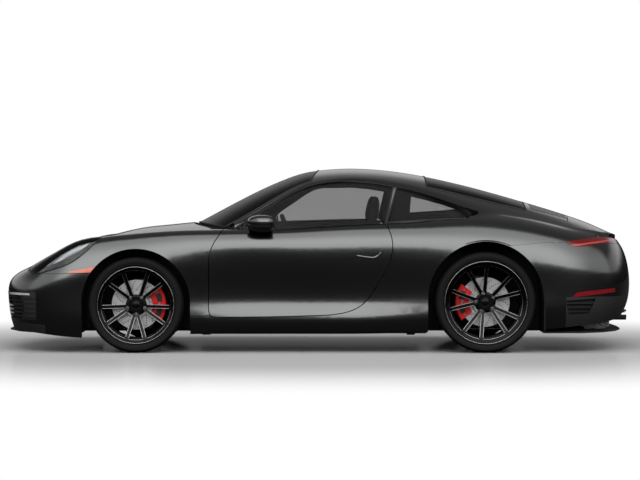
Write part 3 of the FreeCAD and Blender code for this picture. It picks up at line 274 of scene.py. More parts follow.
paint = sheet.solid(Base_Color=sheet.mixed(lined, tone, grey(0.014)), Metallic=1.0 - lined,
                    Roughness=0.19 + 0.04 * cloud + 0.4 * lined, Coat_Weight=1.0 - lined,
                    Coat_Roughness=0.03, Coat_IOR=1.5,
                    Normal=sheet.bump(sheet.noise(260.0, 1.0), 0.00003))
dress(PAINTED, paint)


# Bonded window glass: a laminated screen and rear window and tempered side panes, bent to shape,
# tinted grey right through, and glued into their openings from outside.
def glazing(name, tint, shine, index, scale, detail, rough):
    sheet = Finish(name)
    view_through = sheet.node("ShaderNodeBsdfTransparent", {}, {"Color": grey(tint)})
    gloss = sheet.node("ShaderNodeBsdfGlossy", {}, {
        "Color": grey(shine), "Roughness": 0.01 + rough * sheet.noise(scale, detail)})
    rim_light = sheet.node("ShaderNodeFresnel", {}, {"IOR": index})
    return sheet.end(sheet.blend(rim_light, view_through, gloss))


dress(["windscreen", "rear_window", "quarter_windows", "door_glass_left", "door_glass_right"],
      glazing("tinted_glass", 0.68, 0.6, 1.25, 7.0, 3.0, 0.015))


# Rubber seals: an extruded black bead is pressed round the edge of every pane and lamp, and hides
# the glue line and the gap to the panel. A pattern grows the bead, or any small part, on points.
SIDES = {"left": -1.0, "right": 1.0}
SEAL_RADIUS = 0.0065


def specked(name, scale, detail, low, high, rough, more=0.0, grain=0.0, **sockets):
    sheet = Finish(name)
    speck = sheet.noise(scale, detail)
    if grain:
        sockets["Normal"] = sheet.bump(speck, grain)
    return sheet.solid(Base_Color=sheet.mixed(speck, low, high),
                       Roughness=rough + more * speck if more else rough, **sockets)


def finished(piece):
    return bpy.data.meshes.new_from_object(piece.evaluated_get(bpy.context.evaluated_depsgraph_get()))


def mounted(name, mesh, body, *materials):
    for material in materials:
        mesh.materials.append(material)
    mesh.name = name
    piece = placed(name, mesh)
    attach(piece, body)
    return piece


def points_mesh(points, turns=None, chains=()):
    mesh = bpy.data.meshes.new("points")
    mesh.from_pydata([tuple(p) for p in points], list(chains), [])
    if turns:
        turn = mesh.attributes.new("turn", "FLOAT_VECTOR", "POINT")
        for i, value in enumerate(turns):
            turn.data[i].vector = value
    return mesh


class Pattern(Sheet):
    def __init__(self, name, **sizes):
        super().__init__(bpy.data.node_groups.new(name, "GeometryNodeTree"))
        self.ports = {}
        self.tree.interface.new_socket("Points", in_out="INPUT", socket_type="NodeSocketGeometry")
        for label, value in sizes.items():
            port = self.tree.interface.new_socket(label, in_out="INPUT", socket_type="NodeSocketFloat")
            port.default_value = value
            self.ports[label] = port.identifier
        self.tree.interface.new_socket("Pieces", in_out="OUTPUT", socket_type="NodeSocketGeometry")
        self.entry = self.tree.nodes.new("NodeGroupInput")

    def given(self, label):
        return Mark(self, self.entry.outputs[label])

    def on_points(self, shape):
        turn = self.node("GeometryNodeInputNamedAttribute", {"data_type": "FLOAT_VECTOR"},
                         {"Name": "turn"})
        return self.node("GeometryNodeInstanceOnPoints", {},
                         {"Points": self.given("Points"), "Instance": shape, "Rotation": turn})

    def end(self, pieces, material):
        real = self.node("GeometryNodeRealizeInstances", {}, {"Geometry": pieces})
        done = self.node("GeometryNodeSetMaterial", {}, {"Geometry": real, "Material": material})
        self.tree.links.new(done.socket, self.tree.nodes.new("NodeGroupOutput").inputs[0])
        return self

    def grown(self, name, mesh, body, **sizes):
        seed = placed(name + "_seed", mesh)
        modifier = seed.modifiers.new("pattern", "NODES")
        modifier.node_group = self.tree
        for label, value in sizes.items():
            modifier[self.ports[label]] = value
        bpy.context.view_layer.update()
        made = finished(seed)
        bpy.data.objects.remove(seed)
        return mounted(name, made, body)


def bead_of(name, material):
    bead = Pattern(name, Radius=0.006, Step=0.02)
    line = bead.node("GeometryNodeMeshToCurve", {}, {"Mesh": bead.given("Points")})
    line = bead.node("GeometryNodeResampleCurve", {"mode": "LENGTH"}, {"Curve": line,
                                                                      "Length": bead.given("Step")})
    ring = bead.node("GeometryNodeCurvePrimitiveCircle", {}, {"Resolution": 8,
                                                             "Radius": bead.given("Radius")})
    tube = bead.node("GeometryNodeCurveToMesh", {}, {"Curve": line, "Profile Curve": ring,
                                                     "Fill Caps": True})
    return bead.end(bead.node("GeometryNodeSetShadeSmooth", {}, {"Geometry": tube}), material)


rubber_black = specked("seal_rubber", 320.0, 2.0, grey(0.006), grey(0.013), 0.45, 0.2, 0.00008)
bead = bead_of("rubber_bead", rubber_black)


def outer_edge(node, outward, side=0.0):
    whole = bmesh.new()
    whole.from_mesh(NODES[node].data)
    bmesh.ops.remove_doubles(whole, verts=whole.verts, dist=0.00004)
    whole.normal_update()
    look = Vector(outward).normalized()
    points = {}
    chains = []
    for edge in whole.edges:
        if len(edge.link_faces) != 2 or edge.verts[0].co.y * side < 0.0:
            continue
        out = [face.normal.dot(look) > 0.25 for face in edge.link_faces]
        bend = edge.link_faces[0].normal.dot(edge.link_faces[1].normal)
        if out[0] != out[1] and bend < 0.6:
            pair = []
            for corner in edge.verts:
                points.setdefault(corner.index, len(points))
                pair.append(points[corner.index])
            chains.append(tuple(pair))
    whole.verts.ensure_lookup_table()
    places = [whole.verts[i].co.copy() for i in points]
    whole.free()
    return points_mesh(places, chains=chains)


for side, way in SIDES.items():
    bead.grown("door_glass_seal_" + side, outer_edge("door_glass_" + side, (0, way, 0.35)),
               "door_" + side, Radius=SEAL_RADIUS)
    bead.grown("quarter_window_seal_" + side, outer_edge("quarter_windows", (0, way, 0.35), way),
               "chassis", Radius=SEAL_RADIUS)
bead.grown("windscreen_seal", outer_edge("windscreen", (-0.6, 0, 0.8)), "chassis", Radius=SEAL_RADIUS)
bead.grown("rear_window_seal", outer_edge("rear_window", (0.3, 0, 0.95)), "chassis", Radius=SEAL_RADIUS)


# Unpainted parts: scuttle, arch liners, luggage tub, dashboard and console are moulded in black
# plastic, the underbody wears a rough sprayed coat, and the suspension, engine and exhaust are bare
# cast and polished metal, bolted up from below.
sheet = Finish("moulded_black_plastic")
grain = sheet.noise(900.0)
black_plastic = sheet.solid(Base_Color=sheet.mixed(sheet.noise(4.0), grey(0.012), grey(0.02)),
                            Roughness=0.55 + 0.2 * grain, Specular_IOR_Level=0.25,
                            Normal=sheet.bump(grain, 0.0001))
cast = specked("cast_alloy", 180.0, 3.0, grey(0.20), grey(0.32), 0.4, 0.2, 0.0003, Metallic=0.9)
steel = specked("polished_steel", 30.0, 2.0, grey(0.45), grey(0.6), 0.14, 0.12, Metallic=1.0)
dress(["scuttle", "arch_liners", "luggage_tub", "dashboard", "console", "headlamp_bowls",
       "grilles"], black_plastic)
dress(["floor_pan", "inner_sills"],
      specked("underbody_coat", 60.0, 3.0, grey(0.01), grey(0.022), 0.65, 0.2, 0.0006))
dress(["engine", "front_suspension", "rear_suspension", "front_knuckle_left", "front_knuckle_right",
       "rear_knuckles"], cast)
dress(["exhaust"], steel)


# Wheels: each is a light alloy casting with five pairs of thin spokes, lacquered satin anthracite,
# with machined edges, held by five bolts on a 130 mm circle round a bare centre cap. The bright
# beads along the spoke edges and round the rim's lip and seat are partly machined metal and partly
# painted highlight.
WHEELS = {"front": {"centre": (-1.2895, 0.790), "radius": 0.334, "width": 0.244, "seat": 0.254,
                    "lip": 0.2715, "spoke_turn": 36.0, "caliper_turn": 90.0},
          "rear": {"centre": (1.1605, 0.772), "radius": 0.352, "width": 0.300, "seat": 0.267,
                   "lip": 0.292, "spoke_turn": 58.3, "caliper_turn": 270.0}}
WHEEL_BODIES = {(end, side): "%s_wheel_%s" % (end, side) for end in WHEELS for side in SIDES}
SPOKE_PAIRS = 5
PAIR_TURN = 72.0
SPOKE_HALF = 0.0118
SPOKE_SPREAD = 9.0
SPOKE_LEAN = 8.0
SPOKE_ROOT = 0.062
ROOT_OUT = 0.062
TIP_SET_IN = 0.014
SEAT_GAP = 0.004
EDGE_RADIUS = 0.0020
EDGE_START = 0.022
EDGE_END = 0.020
RING_STEPS = 90
BOLT_CIRCLE = 0.065
BOLT_OUT = 0.066
RIM_RINGS = [("lip", 0.004, 0.0055), ("seat", 0.0085, 0.030)]
CAP_STEPS = 48
CAP = [(0.0, 0.0745), (0.012, 0.0742), (0.024, 0.0725), (0.0285, 0.070), (0.0300, 0.0712),
       (0.0325, 0.0712), (0.0335, 0.068), (0.0335, 0.062), (0.0, 0.062)]


def facing(direction):
    return tuple(Vector(direction).to_track_quat("Z", "Y").to_euler())


def closed(made, smooth=False, **bevel):
    bmesh.ops.recalc_face_normals(made, faces=made.faces)
    if bevel:
        bmesh.ops.bevel(made, geom=made.edges[:], affect="EDGES", **bevel)
    mesh = bpy.data.meshes.new("closed")
    made.to_mesh(mesh)
    made.free()
    if smooth:
        mesh.shade_smooth()
    return mesh


def skinned(made, rings, segments):
    for low, high in zip(rings, rings[1:]):
        for k in range(segments):
            j = (k + 1) % segments
            corners = [low[k % len(low)], low[j % len(low)], high[j % len(high)], high[k % len(high)]]
            corners = list(dict.fromkeys(corners))
            if len(corners) > 2:
                made.faces.new(corners)
    return closed(made, smooth=True)


def lathe(profile, end, side, segments):
    size = WHEELS[end]
    x, y = size["centre"]
    way = SIDES[side]
    made = bmesh.new()
    rings = []
    for r, out in profile:
        row = []
        for k in range(segments if r > 0 else 1):
            angle = 2 * math.pi * k / segments
            row.append(made.verts.new((x + r * math.sin(angle), way * (y + out),
                                       size["radius"] + r * math.cos(angle))))
        rings.append(row)
    return skinned(made, rings, segments)


def wheel_point(end, side, r, degrees, out):
    size = WHEELS[end]
    x, y = size["centre"]
    angle = math.radians(degrees)
    return Vector((x + r * math.sin(angle), SIDES[side] * (y + out),
                   size["radius"] + r * math.cos(angle)))


def round_chain(start, count):
    return [(start + k, start + (k + 1) % count) for k in range(count)]


def spoke_edges(end, side):
    size = WHEELS[end]
    x, y = size["centre"]
    half = size["width"] / 2
    rise = half - TIP_SET_IN - ROOT_OUT
    length = size["seat"] - SEAT_GAP - SPOKE_ROOT
    places = []
    chains = []
    for k in range(SPOKE_PAIRS):
        for way in (-1, 1):
            base = math.radians(size["spoke_turn"] + PAIR_TURN * k + way * SPOKE_SPREAD)
            lean = base + math.radians(way * SPOKE_LEAN)
            for edge in (-1, 1):
                chains.append((len(places), len(places) + 1))
                for r in (SPOKE_ROOT + EDGE_START, size["seat"] - EDGE_END):
                    run = r - SPOKE_ROOT
                    u = SPOKE_ROOT * math.sin(base) + run * math.sin(lean)
                    w = SPOKE_ROOT * math.cos(base) + run * math.cos(lean)
                    u += edge * SPOKE_HALF * math.cos(lean)
                    w -= edge * SPOKE_HALF * math.sin(lean)
                    out = ROOT_OUT + rise * run / length
                    places.append(Vector((x + u, SIDES[side] * (y + out), size["radius"] + w)))
    for edge, below, inside in RIM_RINGS:
        chains += round_chain(len(places), RING_STEPS)
        places += [wheel_point(end, side, size[edge] - below, 360.0 / RING_STEPS * k, half - inside)
                   for k in range(RING_STEPS)]
    return points_mesh(places, chains=chains)


hex_head = Pattern("hex_heads", Radius=0.0085, Height=0.007)
head = hex_head.node("GeometryNodeMeshCylinder", {}, {
    "Vertices": 6, "Radius": hex_head.given("Radius"), "Depth": hex_head.given("Height")}, "Mesh")
collar = hex_head.node("GeometryNodeMeshCylinder", {}, {
    "Vertices": 20, "Radius": hex_head.given("Radius") * 1.45, "Depth": hex_head.given("Height") * 0.4},
    "Mesh")
joined = hex_head.tree.nodes.new("GeometryNodeJoinGeometry")
for part in (head, collar):
    hex_head.tree.links.new(part.socket, joined.inputs[0])
hex_head.end(hex_head.on_points(Mark(hex_head, joined.outputs[0])), steel)

dark_alloy = specked("satin_dark_alloy", 16.0, 2.0, grey(0.009), grey(0.015), 0.24, 0.08, Metallic=0.95,
                     Coat_Weight=0.1, Coat_Roughness=0.1)
machined_and_highlight_bead = bead_of("machined_edge", specked("machined_alloy_edge", 220.0, 2.0, grey(0.45), grey(0.60),
                                             0.22, 0.1, Metallic=1.0))
for (end, side), body in WHEEL_BODIES.items():
    dress(["%s_rim_%s" % (end, side)], dark_alloy)
    turns = [WHEELS[end]["spoke_turn"] + PAIR_TURN * k for k in range(SPOKE_PAIRS)]
    heads = [wheel_point(end, side, BOLT_CIRCLE, turn, BOLT_OUT) for turn in turns]
    hex_head.grown("%s_wheel_bolts_%s" % (end, side), points_mesh(
        heads, [facing((0, SIDES[side], 0))] * len(heads)), body)
    mounted("%s_wheel_cap_%s" % (end, side), lathe(CAP, end, side, CAP_STEPS), body, dark_alloy)
    machined_and_highlight_bead.grown("%s_spoke_edges_%s" % (end, side), spoke_edges(end, side), body, Radius=EDGE_RADIUS)


# Tyres: black rubber with moulded rings on the sidewall, grooves round the tread and blocks cut
# across it. Each is pressed over the rim's lips and seals on its bead seats.
rubber = specked("tyre_rubber", 140.0, 3.0, grey(0.005), grey(0.009), 0.6, 0.2, 0.0002,
                 Specular_IOR_Level=0.2)
TYRE_STEPS = 128
SIDE_RINGS = 3
FIRST_RING = 0.036
RING_PITCH = 0.006
TREAD_DEPTH = 0.0065
TREAD_RIBS = 4
TREAD_SIDES = 0.080
BLOCKS_ROUND = 68
BLOCK_STAGGER = 0.25
BLOCK_SINK = 0.0043
RIB_GROOVE = 0.008
BLOCK_SLIT = 0.0028
tread = Pattern("tread_blocks", Width=0.03, Length=0.028, Height=0.008)
size = tread.node("ShaderNodeCombineXYZ", {}, {
    "X": tread.given("Length"), "Y": tread.given("Width"), "Z": tread.given("Height")})
tread.end(tread.on_points(tread.node("GeometryNodeMeshCube", {}, {"Size": size}, "Mesh")), rubber)


def tyre_profile(size):
    half = size["width"] / 2
    r = size["radius"]
    lip = size["lip"]
    base = r - TREAD_DEPTH
    wall = [(size["seat"] + 0.0006, half - 0.0184), (lip + 0.0006, half - 0.0144),
            (lip + 0.006, half - 0.0085), (lip + 0.0085, half - 0.0072), (lip + 0.010, half - 0.0052),
            (lip + 0.0165, half - 0.0022), (lip + 0.018, half - 0.0030), (lip + 0.0195, half - 0.0012)]
    for k in range(SIDE_RINGS):
        ring_r = r - FIRST_RING + RING_PITCH * k
        wall += [(ring_r, half - 0.0010), (ring_r + 0.0012, half - 0.0002),
                 (ring_r + 0.0034, half - 0.0002), (ring_r + 0.0046, half - 0.0010)]
    wall += [(r - 0.014, half - 0.006), (r - 0.0085, half - 0.0145), (r - 0.0035, half - 0.026),
             (r - 0.0008, half - 0.0385), (base, half - 0.040)]
    inner = [(size["seat"] + 0.030, half - 0.018), (size["seat"] + 0.0006, half - 0.040)]
    profile = wall + [(q, -y) for q, y in reversed(wall)]
    profile += [(q, -y) for q, y in reversed(inner)] + inner + [wall[0]]
    return profile


for (end, side), body in WHEEL_BODIES.items():
    size = WHEELS[end]
    wall = lathe(tyre_profile(size), end, side, TYRE_STEPS)
    carcass = mounted("%s_tyre_wall_%s" % (end, side), wall, body, rubber)
    span = size["width"] - TREAD_SIDES
    places = []
    turns = []
    for rib in range(TREAD_RIBS):
        across = (rib + 0.5) / TREAD_RIBS * span - span / 2
        for k in range(BLOCKS_ROUND):
            degrees = 360.0 / BLOCKS_ROUND * (k + BLOCK_STAGGER * (rib % 2))
            places.append(wheel_point(end, side, size["radius"] - BLOCK_SINK, degrees, across))
            turns.append((0.0, math.radians(degrees), 0.0))
    tread.grown("%s_tyre_tread_%s" % (end, side), points_mesh(places, turns), body,
                Width=span / TREAD_RIBS - RIB_GROOVE,
                Length=2 * math.pi * size["radius"] / BLOCKS_ROUND - BLOCK_SLIT)
    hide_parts("%s_tyre_%s" % (end, side))


# Brakes: vented and cross-drilled steel discs, each under a fixed aluminium caliper lacquered red
# with two windows over its pads, held to the knuckle by bolts.
disc_steel = specked("turned_disc_steel", 200.0, 2.0, grey(0.42), grey(0.62), 0.34, 0.15, Metallic=0.85)
# A near-black of painted shade, used where an opening lies in shadow: drilled holes, pad windows and an
# intake.
painted_opening_shade = specked("drilled_hole_shadow", 90.0, 1.0, grey(0.008), grey(0.02), 0.7)
red = specked("red_caliper_lacquer", 45.0, 2.0, (0.56, 0.008, 0.008, 1.0), (0.72, 0.016, 0.014, 1.0),
              0.22, 0.08, Coat_Weight=0.8, Coat_Roughness=0.05)
dress(["front_caliper_left", "front_caliper_right", "rear_calipers"], red)

HOLE_ARMS = 18
HOLES_ON_ARM = 5
FIRST_HOLE = 0.103
HOLE_PITCH = 0.0145
ARM_SWEEP = 0.2
DISC_FACE = 0.0101
# Each drilled hole is drawn as a thin dark disc on the disc face, painted shade of the hole.
drilled = Pattern("drilled_holes", Radius=0.0042, Height=0.0008)
hole = drilled.node("GeometryNodeMeshCylinder", {}, {
    "Vertices": 10, "Radius": drilled.given("Radius"), "Depth": drilled.given("Height")}, "Mesh")
drilled.end(drilled.on_points(hole), painted_opening_shade)
for (end, side), body in WHEEL_BODIES.items():
    dress(["%s_disc_%s" % (end, side)], disc_steel)
    places = []
    for arm in range(HOLE_ARMS):
        for k in range(HOLES_ON_ARM):
            turn = 360.0 / HOLE_ARMS * (arm + ARM_SWEEP * k)
            places.append(wheel_point(end, side, FIRST_HOLE + HOLE_PITCH * k, turn, DISC_FACE))
    drilled.grown("%s_disc_holes_%s" % (end, side), points_mesh(
        places, [facing((0, SIDES[side], 0))] * len(places)), body)

# A plate has its inner and outer radius, half its turn, its height over the face and its depth; a
# bolt has its turn, its radius and its height.
CALIPER_FACE = 0.030
PAD_TURNS = (-17.0, 17.0)
PAD_WINDOW = (0.150, 0.187, 10.0, 0.0006, 0.004)
CALIPER_RIB = (0.118, 0.146, 13.0, 0.005, 0.008)
CALIPER_SPINE = (0.150, 0.198, 5.0, 0.004, 0.007)
CALIPER_BOLTS = [(-31.0, 0.168, 0.002), (-3.0, 0.160, 0.0055), (3.0, 0.160, 0.0055),
                 (31.0, 0.168, 0.002)]
PLATE_STEPS = 10
PLATE_BEVEL = 0.0006
CALIPER_BODIES = {("front", side): "knuckle_" + side for side in SIDES}
CALIPER_BODIES.update({("rear", side): "chassis" for side in SIDES})


def walled(loops):
    made = bmesh.new()
    rows = [[made.verts.new(point) for point in loop] for loop in loops]
    count = len(rows[0])
    for low, high in zip(rows, rows[1:]):
        for k in range(count):
            j = (k + 1) % count
            made.faces.new([low[k], low[j], high[j], high[k]])
    made.faces.new(rows[0])
    made.faces.new(rows[-1])
    return made


def caliper_plate(end, side, turn, plate):
    r0, r1, half, over, depth = plate
    out = CALIPER_FACE + over
    loops = []
    for k in range(PLATE_STEPS + 1):
        angle = turn - half + 2 * half * k / PLATE_STEPS
        loops.append([wheel_point(end, side, r, angle, y)
                      for r, y in ((r0, out), (r1, out), (r1, out - depth), (r0, out - depth))])
    return closed(walled(loops), offset=PLATE_BEVEL, segments=1)


for (end, side), body in CALIPER_BODIES.items():
    middle = WHEELS[end]["caliper_turn"]
    for k, shift in enumerate(PAD_TURNS):
        # Each pad window is a thin dark plate on the caliper, painted shade of the opening over the
        # pad.
        mounted("%s_pad_window_%s_%d" % (end, side, k + 1),
                caliper_plate(end, side, middle + shift, PAD_WINDOW), body, painted_opening_shade)
        mounted("%s_caliper_rib_%s_%d" % (end, side, k + 1),
                caliper_plate(end, side, middle + shift, CALIPER_RIB), body, red)
    mounted("%s_caliper_spine_%s" % (end, side), caliper_plate(end, side, middle, CALIPER_SPINE),
            body, red)
    pins = [wheel_point(end, side, r, middle + turn, CALIPER_FACE + out)
            for turn, r, out in CALIPER_BOLTS]
    hex_head.grown("%s_caliper_bolts_%s" % (end, side), points_mesh(
        pins, [facing((0, SIDES[side], 0))] * len(pins)), body, Radius=0.0045, Height=0.004)


# Headlamps: a long oval unit laid into the crest of each wing, with a crowned clear lens in a black
# border, two projectors with bright rims, thin reflector fins and four small running lights.
clear = glazing("clear_lens", 0.95, 0.95, 1.35, 5.0, 2.0, 0.01)
dress(["headlamp_lenses"], rubber_black)
chrome = specked("bright_lamp_chrome", 25.0, 1.0, grey(0.70, (0.93, 0.97, 1.0)), grey(0.85), 0.10, 0.1,
                 Metallic=1.0)
lamp_core = specked("pale_lamp_core", 70.0, 1.0, grey(0.50, (0.88, 0.93, 1.0)),
                    grey(0.70, (0.9, 0.95, 1.0)), 0.08, 0.08, Coat_Weight=1.0, Coat_Roughness=0.02)
sheet = Finish("lamp_reflector")
ribs = sheet.node("ShaderNodeTexWave", {"bands_direction": "Y"}, {
    "Vector": sheet.place(), "Scale": 9.0, "Distortion": 0.6})
reflector = sheet.solid(
    Base_Color=sheet.mixed(ribs, grey(0.14, (0.85, 0.92, 1.0)), grey(0.75, (0.90, 0.94, 1.0))),
    Metallic=0.0, Roughness=0.16 + 0.1 * ribs, Coat_Weight=1.0, Coat_Roughness=0.03)


def surface_of(*names):
    corners = []
    faces = []
    for name in names:
        mesh = NODES[name].data
        start = len(corners)
        corners += [v.co.copy() for v in mesh.vertices]
        faces += [[start + i for i in face.vertices] for face in mesh.polygons]
    return BVHTree.FromPolygons(corners, faces)


LAMP_MIDDLE = (-1.796, 0.744)
LAMP_LONG = 0.256
LAMP_HALF = 0.140
LAMP_SHEAR = 0.16
OUTER_POWER = 2.0
INNER_POWER = 4.0
OVAL_STEPS = 72
PITCH = 0.004
GRID_MARGIN = (0.03, 0.04)
GRID_SPARE = (0.06, 0.09)
CLOSE = 3
SLOPE_STEP = 0.006
wing_top = surface_of("front_wings", "headlamp_lenses", "front_bumper", "bonnet")


class Crest:
    def __init__(self, way):
        self.way = way
        self.x0 = LAMP_MIDDLE[0] - LAMP_LONG - GRID_MARGIN[0]
        self.y0 = LAMP_MIDDLE[1] - LAMP_HALF - GRID_MARGIN[1]
        self.nx = int((2 * LAMP_LONG + GRID_SPARE[0]) / PITCH) + 1
        self.ny = int((2 * LAMP_HALF + GRID_SPARE[1]) / PITCH) + 1
        grid = [[self.drop(self.x0 + i * PITCH, self.y0 + j * PITCH) for j in range(self.ny)]
                for i in range(self.nx)]
        grid = self.swept(self.swept(grid, max), min)
        self.grid = self.averaged(self.averaged(grid))

    def drop(self, x, y):
        hit = wing_top.ray_cast(Vector((x, self.way * y, 1.5)), Vector((0, 0, -1)))[0]
        return hit.z if hit else 0.0

    def swept(self, grid, pick):
        rows = [[pick(row[max(j - CLOSE, 0):j + CLOSE + 1]) for j in range(self.ny)] for row in grid]
        return [[pick(rows[k][j] for k in range(max(i - CLOSE, 0), min(i + CLOSE + 1, self.nx)))
                 for j in range(self.ny)] for i in range(self.nx)]

    def averaged(self, grid):
        made = [row[:] for row in grid]
        for i in range(1, self.nx - 1):
            for j in range(1, self.ny - 1):
                made[i][j] = (2 * grid[i][j] + grid[i - 1][j] + grid[i + 1][j] + grid[i][j - 1]
                              + grid[i][j + 1]) / 6.0
        return made

    def height(self, x, y):
        a = min(max((x - self.x0) / PITCH, 0.0), self.nx - 1.001)
        b = min(max((y - self.y0) / PITCH, 0.0), self.ny - 1.001)
        i, j = int(a), int(b)
        a, b = a - i, b - j
        g = self.grid
        return ((g[i][j] * (1 - a) + g[i + 1][j] * a) * (1 - b)
                + (g[i][j + 1] * (1 - a) + g[i + 1][j + 1] * a) * b)

    def at(self, reach, turn, lift):
        u = reach * math.cos(turn)
        way, power = (1, OUTER_POWER) if math.sin(turn) > 0 else (-1, INNER_POWER)
        width = LAMP_HALF * max(1.0 - abs(math.cos(turn)) ** power, 0.0) ** (1.0 / power)
        x = LAMP_MIDDLE[0] + LAMP_LONG * u
        y = LAMP_MIDDLE[1] + LAMP_SHEAR * LAMP_LONG * u + reach * width * way
        step = SLOPE_STEP
        slope_x = (self.height(x + step, y) - self.height(x - step, y)) / (2 * step)
        slope_y = (self.height(x, y + step) - self.height(x, y - step)) / (2 * step)
        normal = Vector((-slope_x, -slope_y, 1.0)).normalized()
        place = Vector((x, y, self.height(x, y))) + normal * lift
        return tuple(Vector((v.x, self.way * v.y, v.z)) for v in (place, normal))


def oval_skin(crest, reaches, lift, depth, border=None):
    made = bmesh.new()
    count = OVAL_STEPS
    layers = []
    for under in (False, True):
        rows = []
        for reach in reaches:
            high = lift(reach) - (depth if under else 0.0)
            rows.append([made.verts.new(crest.at(reach, 2 * math.pi * (k + 0.5) / count, high)[0])
                         for k in range(count)])
        layers.append(rows)
    for rows in layers:
        for low, high, reach in zip(rows, rows[1:], reaches[1:]):
            for k in range(count):
                j = (k + 1) % count
                face = made.faces.new([low[k], low[j], high[j], high[k]])
                face.material_index = 1 if border and reach > border else 0
        made.faces.new(rows[0])
    top, low = (rows[-1] for rows in layers)
    for k in range(count):
        j = (k + 1) % count
        face = made.faces.new([top[k], top[j], low[j], low[k]])
        face.material_index = 1 if border else 0
    return closed(made, smooth=True)


def turned_on(axis_from, axis_to, profile, segments=32):
    turn = (axis_to - axis_from).normalized().to_track_quat("Z", "Y").to_matrix().to_4x4()
    frame_at = Matrix.Translation(axis_from) @ turn
    made = bmesh.new()
    rings = []
    for r, z in profile:
        angles = [2 * math.pi * k / segments for k in range(segments if r > 0 else 1)]
        rings.append([made.verts.new(frame_at @ Vector((r * math.cos(a), r * math.sin(a), z)))
                      for a in angles])
    return skinned(made, rings, segments)


def crowned(reach):
    return BASE_LIFT + COVER_GAP + CROWN * max(1.0 - reach * reach, 0.0) ** 0.7


BASE_LIFT = 0.0014
BASE_DEPTH = 0.005
COVER_GAP = 0.0012
COVER_DEPTH = 0.0009
CROWN = 0.011
BORDER_FROM = 0.87
BORDER_STEPS = 96
BORDER_RADIUS = 0.0032
BORDER_SPACING = 0.012
REACHES = [0.04, 0.16, 0.30, 0.44, 0.58, 0.70, 0.80, 0.87, 0.92, 0.96, 0.985, 1.0]
PROJECTOR_RIM = [(0.0, -0.002), (0.034, -0.002), (0.038, 0.0015), (0.0365, 0.0035), (0.0335, 0.0030),
                 (0.028, 0.0012), (0.0, 0.0012)]
PROJECTOR_DOME = [(0.0, 0.0052), (0.010, 0.0049), (0.019, 0.0036), (0.026, 0.0016), (0.026, 0.0006),
                  (0.0, 0.0006)]
RUNNING = [(0.0, 0.0030), (0.006, 0.0027), (0.010, 0.0012), (0.010, -0.001), (0.0, -0.001)]
PROJECTORS = [(0.40, 180.0), (0.16, 300.0)]
RUNNERS = [(0.62, 118.0), (0.62, 242.0), (0.60, 52.0), (0.62, 308.0)]
FINS = (0.42, 0.56, 0.70, 0.80)
FIN_STEPS = 16
FIN_RADIUS = 0.0016
FIN_SPACING = 0.010
FIN_START = 24.0
FIN_SWEEP = 132.0
fin_bead = bead_of("lamp_fin", lamp_core)
for side, way in SIDES.items():
    crest = Crest(way)
    base = oval_skin(crest, REACHES, lambda r: BASE_LIFT, BASE_DEPTH, BORDER_FROM)
    mounted("headlamp_base_" + side, base, "chassis", reflector, rubber_black)
    cover = oval_skin(crest, REACHES, crowned, COVER_DEPTH)
    mounted("headlamp_cover_" + side, cover, "chassis", clear)
    ring = [crest.at(1.0, 2 * math.pi * (k + 0.5) / BORDER_STEPS, COVER_GAP)[0]
            for k in range(BORDER_STEPS)]
    bead.grown("headlamp_border_" + side, points_mesh(ring, chains=round_chain(0, BORDER_STEPS)),
               "chassis", Radius=BORDER_RADIUS, Step=BORDER_SPACING)
    places = []
    chains = []
    for reach in FINS:
        chains += [(len(places) + k, len(places) + k + 1) for k in range(FIN_STEPS)]
        for k in range(FIN_STEPS + 1):
            turn = math.radians(FIN_START + FIN_SWEEP * k / FIN_STEPS)
            places.append(crest.at(reach, turn, BASE_LIFT + COVER_GAP)[0])
    fin_bead.grown("headlamp_fins_" + side, points_mesh(places, chains=chains), "chassis",
                   Radius=FIN_RADIUS, Step=FIN_SPACING)
    for k, (reach, turn) in enumerate(PROJECTORS):
        seat, normal = crest.at(reach, math.radians(turn), BASE_LIFT)
        mounted("projector_rim_%s_%d" % (side, k + 1), turned_on(seat, seat + normal, PROJECTOR_RIM),
                "chassis", chrome)
        mounted("projector_lens_%s_%d" % (side, k + 1), turned_on(seat, seat + normal, PROJECTOR_DOME),
                "chassis", lamp_core)
    for k, (reach, turn) in enumerate(RUNNERS):
        seat, normal = crest.at(reach, math.radians(turn), BASE_LIFT)
        mounted("running_light_%s_%d" % (side, k + 1), turned_on(seat, seat + normal, RUNNING, 20),
                "chassis", lamp_core)


# Corner ducts: the black intake grille and the day light carry on round each front corner as a
# moulded insert clipped on the bumper skin, with five fins across it.
DUCT_X = (-2.112, -1.992)
DUCT_Z = (0.228, 0.424)
FIN_COUNT = 5
FIN_HIGH = 0.010
FIN_OFFSET = 0.35
FIN_SHORT = 0.010
FINS_BELOW = 0.030
DAY_LIGHT_LONG = 0.070
DAY_LIGHT_Z = (0.400, 0.414)
FRAME_WIDE = 0.008
RAY_FROM_Y = 1.5
CORNER_LEAST_Y = 0.70
CORNER_Y = 0.80
bumper_side = surface_of("front_bumper")


